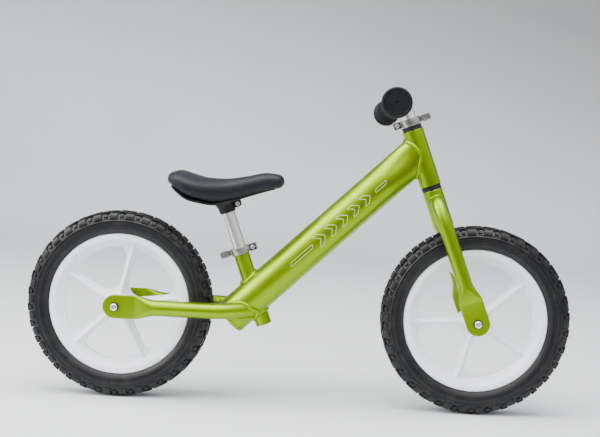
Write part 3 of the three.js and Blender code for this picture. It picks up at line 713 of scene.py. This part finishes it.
CROWN = tube_outline(CROWN_RADIUS, CROWN_BORE, CROWN_FROM, CROWN_TO, 0.9)
POST = tube_outline(POST_RADIUS, POST_BORE, POST_FROM, POST_TO, 0.7)
STEERER = tube_outline(STEERER_RADIUS, STEERER_BORE, STEERER_FROM, STEERER_TO)
add_skin("fork_crown", turned(CROWN, STEER, 112), LIME, "fork")
add_bush("upper_headset_bush", HEAD_TO, 1)
add_bush("lower_headset_bush", HEAD_FROM, -1)
add_skin("seat_post", turned(POST, SEAT), STEEL_SEAT, "seat")
add_piece("steerer_skin", *turned(STEERER, STEER), STEEL_STEER, "fork", ["steerer_tube"])


# ---------------- flat plates with rounded edges
def plate_parts(outlines, low, high, bevel=0.0):
    """Vertices (mm) and faces of flat outlines, holes included, given a thickness and rounded edges."""
    curve = bpy.data.curves.new("plate", "CURVE")
    curve.dimensions = "2D"
    curve.fill_mode = "BOTH"
    curve.extrude = (high - low) / 2 - bevel
    curve.bevel_depth = bevel
    curve.bevel_resolution = 3
    curve.offset = -bevel
    for outline in outlines:
        spline = curve.splines.new("POLY")
        spline.points.add(len(outline) - 1)
        for point, (x, y) in zip(spline.points, outline):
            point.co = (float(x), float(y), 0, 1)
        spline.use_cyclic_u = True
    verts, faces = finished(in_scene("plate", curve))
    return verts + [0, 0, (low + high) / 2], faces


def moulded(verts, faces, voxel, rounds):
    """The outer skin of overlapping solids, with its inside corners run together as a moulding has them."""
    holder = in_scene("moulding", mesh_of("moulding", verts, faces))
    remesh = holder.modifiers.new("skin", "REMESH")
    remesh.mode = "VOXEL"
    remesh.voxel_size = voxel
    smooth = holder.modifiers.new("soften", "SMOOTH")
    smooth.factor = 0.6
    smooth.iterations = rounds
    return finished(holder)


# ---------------- wheels
# A wheel is made in its own frame: x and y in its plane, z along the axle towards the bike's right.
SPOKES = 5
SPOKE_HALF, WEB_HALF, WEB_RADIUS, RIB_HALF = 7.0, 3.5, 97.0, 2.3
HUB_RADIUS, HUB_BORE, HUB_HALF = 19.0, 11.5, 28.0
BEARING_RADIUS, BEARING_BORE, BEARING_DEPTH = 14.0, 6.3, 8.0
RIM_LIP, RIM_HALF, RIB_REACH = 12.4, 17.0, 103.0
WINDOW_ROOT, WINDOW_STRAIGHT_TO, WINDOW_ARC_SHARE = 34.0, 70.0, 0.58
WHEELS = {"rear": (REAR_AXLE, "frame", math.radians(7.0)), "front": (FRONT_AXLE, "fork", math.radians(39.5))}


def window_outline():
    """One opening between two spokes, centred on +x: straight beside the spokes, with wide corners."""
    half_pitch = math.pi / SPOKES
    outer = WEB_RADIUS - 4

    def beside(distance, side):
        return spun([distance, -side * SPOKE_HALF], side * half_pitch)
    sweep = half_pitch * WINDOW_ARC_SHARE
    rounded = arc(outer, np.linspace(-sweep, sweep, 40))
    return np.vstack([
        [beside(WINDOW_ROOT, -1)],
        bezier(beside(WINDOW_STRAIGHT_TO, -1), beside(outer, -1), rounded[0])[:-1], rounded,
        bezier(rounded[-1], beside(outer, 1), beside(WINDOW_STRAIGHT_TO, 1))[1:],
        bezier(beside(WINDOW_ROOT, 1), (HUB_RADIUS, 0), beside(WINDOW_ROOT, -1))[:-1],
    ])


def spun(points, angle):
    turn = np.array([[math.cos(angle), math.sin(angle)], [-math.sin(angle), math.cos(angle)]])
    return np.asarray(points) @ turn


def turned_flat(outline, segments=180, steps=4):
    """A turned solid about the wheel's own axle line, in millimetres."""
    verts, faces = turned(outline, WORLD, segments, steps)
    return verts / MM, faces


def rim_parts():
    flat, foot = RIM_RADIUS - RIM_LIP, RIM_HALF - 2.5
    half = [(WEB_RADIUS - 2, WEB_HALF), (flat, foot), (flat + 2.4, RIM_HALF), (RIM_RADIUS - 1.6, RIM_HALF),
            (RIM_RADIUS, RIM_HALF - 1.4)]
    channel = [(r, -y, 0) for r, y in half] + [(r, y, 0) for r, y in half[::-1]]
    window = window_outline()
    holes = [spun(window, math.pi / SPOKES + TAU * k / SPOKES)[::-1] for k in range(SPOKES)]
    web = plate_parts([arc(WEB_RADIUS + 1, turn_steps(240))] + holes, -WEB_HALF, WEB_HALF)
    hub = turned_flat(tube_outline(HUB_RADIUS, HUB_BORE, -HUB_HALF, HUB_HALF, 0), 120)
    seat = turned_flat(tube_outline(HUB_RADIUS, BEARING_RADIUS + 0.4, HUB_HALF - 8.2, HUB_HALF, 0), 120)
    parts = [turned_flat(channel, 240, 1), web, hub, seat]
    rib = [(14, -23), (RIB_REACH, -8.2), (RIB_REACH, 8.2), (14, 23)]
    verts, faces = plate_parts([rib], -RIB_HALF, RIB_HALF)
    for spoke in range(SPOKES):
        flat = spun(np.stack([verts[:, 0], -verts[:, 2]], -1), TAU * spoke / SPOKES)
        parts.append((np.column_stack([flat, verts[:, 1]]), faces))
    return moulded(*combined(*parts), 1.15, 5)


TREAD_REPEATS, TREAD_DEPTH, TREAD_HALF = 34, 3.4, 31.5
# Raised blocks: start and end along one repeat (0-1), from and to across the tyre (mm), share of depth.
TREAD_BLOCKS = [(0.06, 0.50, -5.6, 5.6, 1.0), (0.60, 0.96, -2.6, 2.6, 0.55)]
for start, end, low, high, share in [(0.56, 1.00, 7.6, 16.4, 1.0), (0.10, 0.46, 9.4, 14.6, 0.55),
                                     (0.04, 0.52, 19.0, 29.5, 1.0), (0.66, 0.88, 20.5, 26.5, 0.9)]:
    TREAD_BLOCKS += [(start, end, low, high, share), (start, end, -high, -low, share)]
SIDE_GROOVES = [(34.2, 35.2), (41.4, 42.4), (44.6, 45.4)]
GROOVE_DEPTH = 0.7
TYRE_HALF = [(115.8, 16.4), (120.8, 20), (128.8, 22.3), (140.5, 22.6), (147.4, 19.8), (151.4, 13.4),
             (152.5, 6.5), (152.5, 0)]


def spread(low, high, step, edges, clear, beside):
    """Even places from low to high, thinned near each edge, with a close pair of places at every edge."""
    even = {place for place in np.arange(low, high, step)
            if min(abs(place - edge) for edge in edges) > clear}
    return even | {edge + offset for edge in edges for offset in (-beside, beside)}


def tyre_parts():
    curve = smooth_path(TYRE_HALF + [(radius, -width) for radius, width in TYRE_HALF[-2::-1]], 900)
    lengths = running_length(curve)
    lengths -= lengths[-1] / 2
    slope = unit(np.gradient(curve, axis=0))
    edges = {value for block in TREAD_BLOCKS for value in block[2:4]}
    edges |= {sign * value for pair in SIDE_GROOVES for value in pair for sign in (-1, 1)}
    across = np.array(sorted(spread(lengths[0], lengths[-1], 1.5, edges, 0.6, 0.28) | {lengths[-1]}))
    marks = {value for block in TREAD_BLOCKS for value in block[:2]}
    phases = np.array(sorted({place % 1 for place in spread(0, 1, 0.06, marks, 0.025, 0.011)}))
    raised = np.zeros((len(across), len(phases)))
    for start, end, low, high, share in TREAD_BLOCKS:
        within = (across > low) & (across < high)
        along = ((phases - start) % 1) < (end - start)
        raised = np.maximum(raised, share * within[:, None] * along)
    shoulder = np.clip((TREAD_HALF + 1.5 - np.abs(across)) / 9, 0.35, 1)[:, None]
    sunk = np.where((np.abs(across) < TREAD_HALF)[:, None], TREAD_DEPTH * (1 - raised) * shoulder, 0)
    for low, high in SIDE_GROOVES:
        sunk[(np.abs(across) > low) & (np.abs(across) < high)] = GROOVE_DEPTH
    sunk = np.tile(sunk, (1, TREAD_REPEATS))
    angle = ((np.arange(TREAD_REPEATS)[:, None] + phases) * TAU / TREAD_REPEATS).ravel()
    radius, width, step_out, step_side = (np.interp(across, lengths, values)[:, None] for values in (
        curve[:, 0], curve[:, 1], slope[:, 0], slope[:, 1]))
    radius, width = radius + step_side * sunk, width - step_out * sunk
    rings = np.stack([radius * np.cos(angle), radius * np.sin(angle), width], -1)
    return lofted(rings, "loop")


def on_wheel(parts, axle, angle=0.0, side=-1):
    """From a wheel's own frame to the bike's: x and y become X and Z, and z points out to the side."""
    verts, faces = parts
    flat = spun(verts[:, :2], angle)
    return axle + np.stack([flat[:, 0], side * verts[:, 2], flat[:, 1]], -1) * MM, faces


def hexagon(half_flat, angle):
    """How far a hexagon's edge is from its middle, in each direction."""
    return half_flat / np.cos(angle % (math.pi / 3) - math.pi / 6)


def bolt_parts():
    """A low button head with a hexagon socket, standing on +z."""
    angle = turn_steps(72)
    head = [(3.0, 50.5), (5.9, 50.5), (6.2, 50.9), (6.2, 51.8), (6.0, 52.8), (5.6, 53.7), (4.9, 54.35),
            (4.0, 54.68)]
    socket = hexagon(2.75, angle + math.pi / 6)
    head += [(socket * scale, height) for scale, height in ((1.08, 54.7), (1.0, 54.5), (0.98, 52.0))]
    return lofted([np.column_stack([arc(radius, angle), height + 0 * angle]) for radius, height in head])


def add_wheel(name, rim, tyre, bolt):
    axle, holder, angle = WHEELS[name]
    body = name + "_wheel"
    add_skin(name + "_rim", on_wheel(rim, axle, angle), WHITE, body, 180)
    add_skin(name + "_tyre", on_wheel(tyre, axle, angle), FOAM, body, 32)
    inner, outer = HUB_HALF - BEARING_DEPTH, HUB_HALF
    bearing = [(BEARING_BORE, inner, 0.3), (BEARING_RADIUS, inner, 0.4), (BEARING_RADIUS, outer, 0.4),
               (12.4, outer, 0.3), (12.0, outer - 0.5, 0.1), (8.6, outer - 0.5, 0.1), (8.2, outer, 0.3),
               (BEARING_BORE, outer, 0.3)]
    spacer = tube_outline(8.5, BEARING_BORE, outer + 0.3, DROPOUT_OUTER - DROPOUT_THICKNESS - 0.3)
    washer = tube_outline(7.5, 3.3, DROPOUT_OUTER + 0.3, DROPOUT_OUTER + 1.2, 0.25)
    kinds = (("bearing", bearing, BRIGHT, body), ("spacer", spacer, BRIGHT, holder),
             ("washer", washer, BLACKENED, holder))
    for side_name, side in SIDES.items():
        for kind, outline, look, rides in kinds:
            placed = on_wheel(turned_flat(outline, 72, 3), axle, side=side)
            add_skin(f"{name}_{kind}_{side_name}", placed, look, rides)
        add_skin(f"{name}_axle_bolt_{side_name}", on_wheel(bolt, axle, 0.3, side), BRIGHT, holder, 30)


RIM_PARTS, TYRE_PARTS, BOLT_PARTS = rim_parts(), tyre_parts(), bolt_parts()
for wheel_name in WHEELS:
    add_wheel(wheel_name, RIM_PARTS, TYRE_PARTS, BOLT_PARTS)


# ---------------- quick-release clamps
COLLAR_BORE, COLLAR_RADIUS, COLLAR_HEIGHT = 13.2, 16.6, 12.0
EAR_REACH, EAR_HALF, EAR_CORNER, SLOT_HALF = 28.2, 8.0, 3.0, 1.5
CLAMP_BOLT_X, CAM_Y, CAM_RADIUS = 22.5, 15.2, 5.2


def collar_outline():
    """A split ring with two ears that point to +x, the slot running out between them."""
    join = math.asin(EAR_HALF / COLLAR_RADIUS)
    mouth = math.asin(SLOT_HALF / COLLAR_BORE)
    corner_top = (EAR_REACH, EAR_HALF - EAR_CORNER)
    turn = bezier(corner_top, (EAR_REACH, EAR_HALF), (EAR_REACH - EAR_CORNER, EAR_HALF), 10)
    upper = np.vstack([[(EAR_REACH, SLOT_HALF)], turn])
    ring = arc(COLLAR_RADIUS, np.linspace(join, TAU - join, 70))
    inner = arc(COLLAR_BORE, np.linspace(TAU - mouth, mouth, 70))
    return np.vstack([upper, ring, upper[::-1] * [1, -1], inner])


def arm_outline():
    """The lever's arm from beside the cam, round the collar, to the tab at its tip."""
    return np.vstack([
        bezier((14, 21.4), (7, 21.2), (0, 20.6), 8), bezier((0, 20.6), (-13, 20.0), (-19, 13.6), 16)[1:],
        [(-25, 12.4), (-31.4, 11.2)], bezier((-31.4, 11.2), (-34.4, 10.5), (-33.2, 8.5), 8)[1:],
        [(-25, 9.4)], bezier((-18, 10.6), (-12, 16.8), (0, 18.0), 16), [(7, 16.5), (14, 14.8)],
    ])


def cheek_outline():
    cam = arc(CAM_RADIUS, np.radians(np.linspace(-128, 96, 40)), (CLAMP_BOLT_X, CAM_Y))
    return np.vstack([cam, [(17, 20.9), (12, 21.1), (7, 20.7), (7, 17.2), (12, 15.6)]])


def rounded_box(low, high, radius):
    return rounded_loop([low, (high[0], low[1]), high, (low[0], high[1])], radius)


def upright_plate(outlines, low, high, bevel):
    """A plate whose face looks across the bike: drawn in (forward, up), its thickness along left."""
    verts, faces = plate_parts(outlines, low, high, bevel)
    return verts[:, [0, 2, 1]], faces


def nut_rings(across_radius, heights, scales, middle):
    """Rings of a hexagon nut about the left axis, its corners eased at both faces."""
    angle = turn_steps(72)
    flat = hexagon(across_radius * math.cos(math.pi / 6), angle)
    rings = []
    for height, scale in zip(heights, scales):
        forward, up = arc(np.minimum(flat, across_radius * scale), angle, middle).T
        rings.append(np.stack([forward, height + 0 * angle, up], -1))
    return rings


TAB = rounded_box((-35.2, -5.7), (-20.5, 5.7), 3.2)
TAB_HOLLOW = rounded_box((-33.4, -3.9), (-22.3, 3.9), 2.2)[::-1]


def lever_parts():
    """The arm, a cheek on each side of the cam, and the tab: a plate with a rim round its outer face."""
    cheek = cheek_outline()
    return combined(plate_parts([arm_outline()], -4.5, 4.5, 0.55), plate_parts([cheek], 2.6, 4.45, 0.45),
                    plate_parts([cheek], -4.45, -2.6, 0.45), upright_plate([TAB], 9.0, 11.4, 0.5),
                    upright_plate([TAB, TAB_HOLLOW], 8.2, 9.4, 0.3))


def add_clamp(name, line, low, facing, holder, lever_body):
    """A clamp round a line; facing is 1 where its ears point forward and -1 where they point back."""
    middle = low + COLLAR_HEIGHT / 2

    def on_line(parts):
        return line.at(parts[0] * [facing, 1, 1] + [0, 0, middle]), parts[1]

    def add(kind, parts, look, body, smooth_angle=40):
        add_piece(f"{name}_{kind}_skin", *parts, look, body, [f"{name}_clamp_{kind}"], smooth_angle)
    half = COLLAR_HEIGHT / 2
    add("collar", on_line(plate_parts([collar_outline()], -half, half, 0.7)), STEEL_CLAMP_SHADED, holder, 35)
    add("lever", on_line(lever_parts()), STEEL_CLAMP_SHADED, lever_body, 35)
    # Painted shade: a thin black sheet round the nut stands in for the shade about it; it is no real part.
    pad = upright_plate([rounded_box((17.2, -5.2), (27.6, 5.2), 1.4)], -8.35, -7.9, 0.1)
    add_piece(name + "_nut_shade_sheet", *on_line(pad), BLACK, holder)
    across = (facing * CLAMP_BOLT_X, middle)
    shank = turned(rod_outline(2.5, -13.0, 13.4), line, 40, 3, across)
    eye = on_line(plate_parts([arc(3.6, turn_steps(48), (CLAMP_BOLT_X, CAM_Y))], -2.2, 2.2, 0.4))
    add("bolt", combined(shank, eye), BRIGHT, holder)
    rings = nut_rings(4.5, (-12.7, -12.2, -8.8, -8.3), (0.9, 1.0, 1.0, 0.9), across)
    add("nut", lofted(line.at(rings)), BRIGHT, holder, 30)
    pin_line = Line(line.at([facing * CLAMP_BOLT_X, CAM_Y, middle]), line.up)
    add("pin", turned(rod_outline(1.5, -5, 5, 0.4), pin_line, 32, 3), BRIGHT, holder)


add_clamp("seat", SEAT, 259.6, 1, "frame", "seat_lever")
add_clamp("bar", STEER, 331.3, -1, "fork", "bar_lever")


# ---------------- handlebar and grips
def add_handlebar():
    stem = tube_outline(POST_RADIUS, POST_BORE, STEM_FROM, BAR_HEIGHT - 1, 0.3)
    add_piece("stem_skin", *turned(stem, STEER), STEEL_STEER, "handlebar", ["stem_tube"])
    half = [(0, 0), (22, 0), (38, 5), (54, 15.5), (68, 21.5), (82, BAR_BACK), (120, BAR_BACK)]
    half.append((BAR_HALF, BAR_BACK))
    bends = [(-back, -y, BAR_HEIGHT) for y, back in half[:0:-1]]
    bends += [(-back, y, BAR_HEIGHT) for y, back in half]
    rings = STEER.at(swept_ring(smooth_path(bends, 260), POST_RADIUS, 64))
    add_piece("handlebar_skin", *lofted(rings), STEEL_BAR, "handlebar", ["handlebar_tube"])
    across = arc(POST_RADIUS, turn_steps(200))
    drop = np.sqrt(np.maximum(POST_RADIUS ** 2 - across[:, 0] ** 2, 0)) * 0.99
    join = STEER.at(np.column_stack([across * 1.01, BAR_HEIGHT - drop]))
    add_weld("stem_weld", join, 1.7, "handlebar", STEEL_STEER)


GRIP_FROM, GRIP_BORE, GRIP_RADIUS, GRIP_END = 74.0, 11.3, 15.2, 166.3


def grip_outline():
    points = [(GRIP_BORE, GRIP_FROM, 0.3), (18.6, GRIP_FROM, 1.0), (20.5, 75.2, 1.0), (20.3, 77.8, 0.8),
              (15.4, 80.4, 1.6)]
    groove = GRIP_RADIUS - 0.6
    for ridge in np.arange(84, 152, 2.8):
        points += [(GRIP_RADIUS, ridge, 0.25), (groove, ridge + 0.45, 0.2), (groove, ridge + 0.95, 0.2),
                   (GRIP_RADIUS, ridge + 1.4, 0.25)]
    points += [(15.3, 155.4, 1.2), (21.6, 158.7, 1.2), (22.7, 160.2, 1.0), (22.7, 165.4, 1.8),
               (21.2, 167.4, 0.8), (18.9, 167.4, 0.5), (18.4, GRIP_END, 0.3)]
    for ridge in np.arange(17.6, 3.6, -1.5):
        points += [(ridge, GRIP_END, 0.15), (ridge - 0.25, GRIP_END + 0.45, 0.15),
                   (ridge - 0.75, GRIP_END + 0.45, 0.15), (ridge - 1.0, GRIP_END, 0.15)]
    plug = BAR_HALF + 0.3
    points += [(1.8, GRIP_END, 0.3), (1.8, 164.4, 0.2), (0, 164.4, 0)]
    return points + [(0, plug, 0), (GRIP_BORE, plug, 0)]


def add_grips():
    verts, faces = turned(grip_outline(), WORLD, 112, 3, (0, 0))
    for side_name, side in SIDES.items():
        placed = STEER.at(verts / MM * [1, side, 1] + [-BAR_BACK, 0, BAR_HEIGHT])
        add_skin(side_name + "_grip", (placed, faces), RUBBER, "handlebar", 32)


add_handlebar()
add_grips()

# ---------------- saddle
# Stations along the saddle: place along the bike, half width, height of the top and of the underside.
SADDLE = [
    (-208, 48, 372, 350), (-197, 56, 375.5, 340), (-180, 60, 371.5, 329), (-160, 55, 366, 324),
    (-140, 44, 364.2, 321), (-115, 32, 364.8, 326), (-85, 26, 370.4, 336), (-58, 23, 376.4, 345),
    (-38, 19, 374.6, 350.6),
]
SADDLE_TAIL_REACH, SADDLE_NOSE_REACH = 7.0, 10.5
BASE_PROUD = 0.7  # how far the base stands out below the cover


def power(value, exponent):
    return np.sign(value) * np.abs(value) ** exponent


def saddle_ring(x, half, top, under):
    angle = turn_steps(120)
    middle, depth = (top + under) / 2, (top - under) / 2
    side = half * power(np.cos(angle), 0.86)
    lift = power(np.sin(angle), np.where(np.sin(angle) > 0, 0.84, 0.7))
    return np.stack([x + 0 * angle, side, middle + depth * lift], -1)


def blunted(ring, turn, reach):
    """A ring of the saddle's rounded end: smaller and further out as the turn nears a right angle."""
    centre = ring.mean(0)
    return centre + (ring - centre) * math.cos(turn) + [reach * math.sin(turn), 0, 0]


def eased(rings, rounds):
    """Takes the shoulders out of a skin along its length, leaving its two ends where they are."""
    rings = np.array(rings)
    for _ in range(rounds):
        rings[1:-1] = (rings[:-2] + 2 * rings[1:-1] + rings[2:]) / 4
    return rings


def add_cover(rows):
    rings = eased([saddle_ring(x, half, top, under + BASE_PROUD) for x, half, top, under in rows], 26)
    turns = np.radians([12, 25, 38, 51, 63, 74, 83])
    behind = [blunted(rings[0], turn, -SADDLE_TAIL_REACH) for turn in turns[::-1]]
    ahead = [blunted(rings[-1], turn, SADDLE_NOSE_REACH) for turn in turns]
    rings = eased([*behind, *rings, *ahead], 2)
    add_skin("saddle_pad", lofted(WORLD.at(rings)), SKIN, "seat", 60)


def add_base(rows):
    sections = []
    for x, half, _, under in rows[4:-4]:
        reach = half - 8
        outline = [(reach - 1.2, 0), (reach, 1.0), (reach + 0.3, 3.2), (reach - 2.4, 4.6), (0, 4.6)]
        outline += [(-y, z) for y, z in outline[-2::-1]]
        sections.append([(x, y, under + z) for y, z in outline])
    add_skin("saddle_base", lofted(WORLD.at(sections)), BLACK, "seat")


def add_socket():
    bore, low, high = POST_RADIUS + 0.15, 330.5, 352.0
    cup = [(bore, low, 0.4), (12.9, low, 0.8), (13.5, 334, 2), (14.0, 341, 3), (17.6, 349.5, 2),
           (17.6, high, 0), (bore, high, 0)]
    ear = np.vstack([[(10, 334.5)], bezier((20, 334.5), (25.4, 334.5), (25.4, 340), 10),
                     bezier((25.4, 344), (25.4, 347.5), (28, 348.8), 8), [(28, 350.5), (10, 350.5)]])
    verts, faces = upright_plate([ear], -6, 6, 0.9)
    add_skin("saddle_socket", combined(turned(cup, SEAT), (SEAT.at(verts), faces)), BLACK, "seat")
    bolt = [(0, 9, 0), (2.5, 9, 0.4), (2.5, -6.3, 0), (4.0, -6.3, 0.3), (4.0, -9.5, 0.9), (2.0, -9.5, 0.2),
            (2.0, -7.6, 0), (0, -7.6, 0)]
    turned_bolt = turned(bolt, SEAT, 40, 3, (20, 340))
    add_piece("saddle_bolt_skin", *turned_bolt, BRIGHT, "seat", ["saddle_clamp_bolt"], 32)


SADDLE_ROWS = smooth_path(SADDLE, 140)
add_cover(SADDLE_ROWS)
add_base(SADDLE_ROWS)
add_socket()


# ---------------- printed motif on the main tube
def printed_strip(points, width):
    """A thin raised strip along a closed path of (along the tube, round the tube) points, in millimetres."""
    tangent = unit(np.roll(points, -1, 0) - np.roll(points, 1, 0))
    across = np.stack([-tangent[:, 1], tangent[:, 0]], -1) * width / 2
    profile = ((1, 0.04), (0.9, 0.12), (-0.9, 0.12), (-1, 0.04))
    return np.stack([np.column_stack([points + across * share, np.full(len(points), lift)])
                     for share, lift in profile], 1)


def stepped_round(points, step):
    """A closed path resampled in equal steps from its start, with what is left over at its end."""
    closed = np.vstack([points, points[:1]])
    lengths = running_length(closed)
    places = np.arange(0, lengths[-1], step)
    return np.stack([np.interp(places, lengths, closed[:, axis]) for axis in range(2)], -1)


def on_tube(rings, side):
    """Wraps (along, round, lift) points onto the main tube's flank; side is -1 for the right."""
    angle = side * (math.pi / 2 + rings[..., 1] / MAIN_RADIUS)
    base = main_point(rings[..., 0], angle)
    above = main_point(rings[..., 0], angle, MAIN_RADIUS + 1)
    return base + (above - base) * rings[..., 2:]


def motif_loops():
    """Outlined arrowheads in a row, between two thin outlined bars."""
    for step in range(5):
        start = 206 + 24 * step
        tall = 10.5 - 0.6 * step
        yield [(start, -tall), (start + 9, -tall), (start + 19, 0), (start + 9, tall), (start, tall),
               (start + 10, 0)]
    yield [(150, -2.6), (196, -2.6), (200, 2.6), (154, 2.6)]
    yield [(330, -2.4), (352, -2.4), (356, 2.4), (334, 2.4)]


for side_name, side in SIDES.items():
    strips = [printed_strip(stepped_round(rounded_loop(loop, 1.6), 1.5), 0.9) for loop in motif_loops()]
    motif = combined(*(lofted(on_tube(strip, side), "loop") for strip in strips))
    add_piece(side_name + "_motif", *motif, INK, "frame", smooth_angle=60)


# ---------------- floor, camera and light
FLOOR_FRONT, CURVE_FROM, CURVE_RADIUS, WALL_TOP = -7.0, 2.4, 1.2, 7.0


def backdrop_material():
    shader = Shader("backdrop", Specular_IOR_Level=0.25)
    near = shader.blend(shader.ramp(shader.noise(2.2, 3), 0.3, 0.7), (0.66, 0.675, 0.69), (0.70, 0.71, 0.72))
    # Painted shade: the backdrop's colour darkens from pale to mid grey upwards and towards the right.
    wall = shader.blend(shader.ramp(shader.along((0.3, 0, 1)), 0.35, 1.5), near, (0.36, 0.36, 0.362))
    # Towards the camera, out of view, the floor turns near black, so that the tubes reflect a dark band.
    front = shader.ramp(shader.along((0, 1, 0)), -0.9, -0.42)
    shader.into("Base Color", shader.blend(front, (0.05, 0.05, 0.051), wall))
    shader.roughness(shader.noise(30, 3), 0.5, 0.62)
    shader.bump(shader.noise(220, 3), 0.0001, 0.2)
    return shader.material


def add_backdrop():
    """A pale sweep: floor, a wide curve and a wall behind."""
    turn = np.linspace(0, math.pi / 2, 24)
    profile = [(FLOOR_FRONT, 0.0)]
    profile += [(CURVE_FROM + CURVE_RADIUS * math.sin(t), CURVE_RADIUS * (1 - math.cos(t))) for t in turn]
    profile.append((CURVE_FROM + CURVE_RADIUS, WALL_TOP))
    across = np.linspace(-9, 9, 19)
    verts = [(x, y, z - 0.0005) for y, z in profile for x in across]
    mesh = mesh_of("backdrop", verts, grid_faces(len(profile), len(across), wrap=False))
    mesh.shade_smooth()
    mesh.materials.append(backdrop_material())
    in_scene("backdrop", mesh)


def aimed(forward, up_hint=(0, 0, 1), roll=0.0):
    """Right, up and back of a camera or light that looks along forward."""
    forward = unit(np.array(forward, float))
    right = unit(np.cross(forward, up_hint))
    upward = np.cross(right, forward)
    side = math.cos(roll) * right + math.sin(roll) * upward
    top = -math.sin(roll) * right + math.cos(roll) * upward
    return np.column_stack([side, top, -forward])


def add_placed(name, data, where, axes):
    matrix = np.eye(4)
    matrix[:3, :3] = axes
    matrix[:3, 3] = where
    thing = in_scene(name, data)
    thing.matrix_world = Matrix(matrix.tolist())
    return thing


def add_camera():
    lens = bpy.data.cameras.new("camera")
    lens.sensor_width = 36
    lens.lens = 58.63
    yaw, pitch, roll = (math.radians(value) for value in (-2.194, 3.599, 2.422))
    forward = (math.sin(yaw) * math.cos(pitch), math.cos(yaw) * math.cos(pitch), -math.sin(pitch))
    where = (0.0606, -1.5865, 0.4042)
    bpy.context.scene.camera = add_placed("camera", lens, where, aimed(forward, roll=roll))


def add_light(name, where, target, width, height, watts):
    lamp = bpy.data.lights.new(name, "AREA")
    lamp.shape = "RECTANGLE"
    lamp.size, lamp.size_y = width, height
    lamp.energy = watts
    add_placed(name, lamp, where, aimed(np.subtract(target, where), (0.02, 1, 0.05)))


def add_world():
    """Pale surroundings: bright above and behind, darker towards the camera and the ground."""
    world = bpy.data.worlds.new("room")
    world.use_nodes = True
    tree = world.node_tree
    incoming = add_node(tree, "ShaderNodeTexCoord").outputs["Generated"]
    split = add_node(tree, "ShaderNodeSeparateXYZ", {0: incoming})
    lift = add_node(tree, "ShaderNodeMath", {0: split.outputs["Y"], 2: split.outputs["Z"]}, {1: 0.25},
                    operation="MULTIPLY_ADD")
    height = add_node(tree, "ShaderNodeMapRange", {"Value": lift.outputs[0]},
                      {"From Min": -0.5, "From Max": 0.55})
    ramp = add_node(tree, "ShaderNodeValToRGB", {"Fac": height.outputs["Result"]})
    ramp.color_ramp.elements[0].color = (0.03, 0.031, 0.033, 1)
    ramp.color_ramp.elements[1].color = (0.95, 0.97, 1.0, 1)
    tree.links.new(ramp.outputs["Color"], tree.nodes["Background"].inputs["Color"])
    tree.nodes["Background"].inputs["Strength"].default_value = 1.5
    bpy.context.scene.world = world


add_backdrop()
add_camera()
add_world()
add_light("overhead", (-0.2, -0.4, 2.2), (0, 0, 0.1), 3.0, 1.6, 112)
add_light("left_window", (-2.3, -0.9, 1.5), (-0.2, 0.5, 0.3), 1.6, 1.8, 82)
add_light("front_fill", (0.2, -2.6, 2.3), (0, 0, 0.2), 2.4, 0.5, 26)
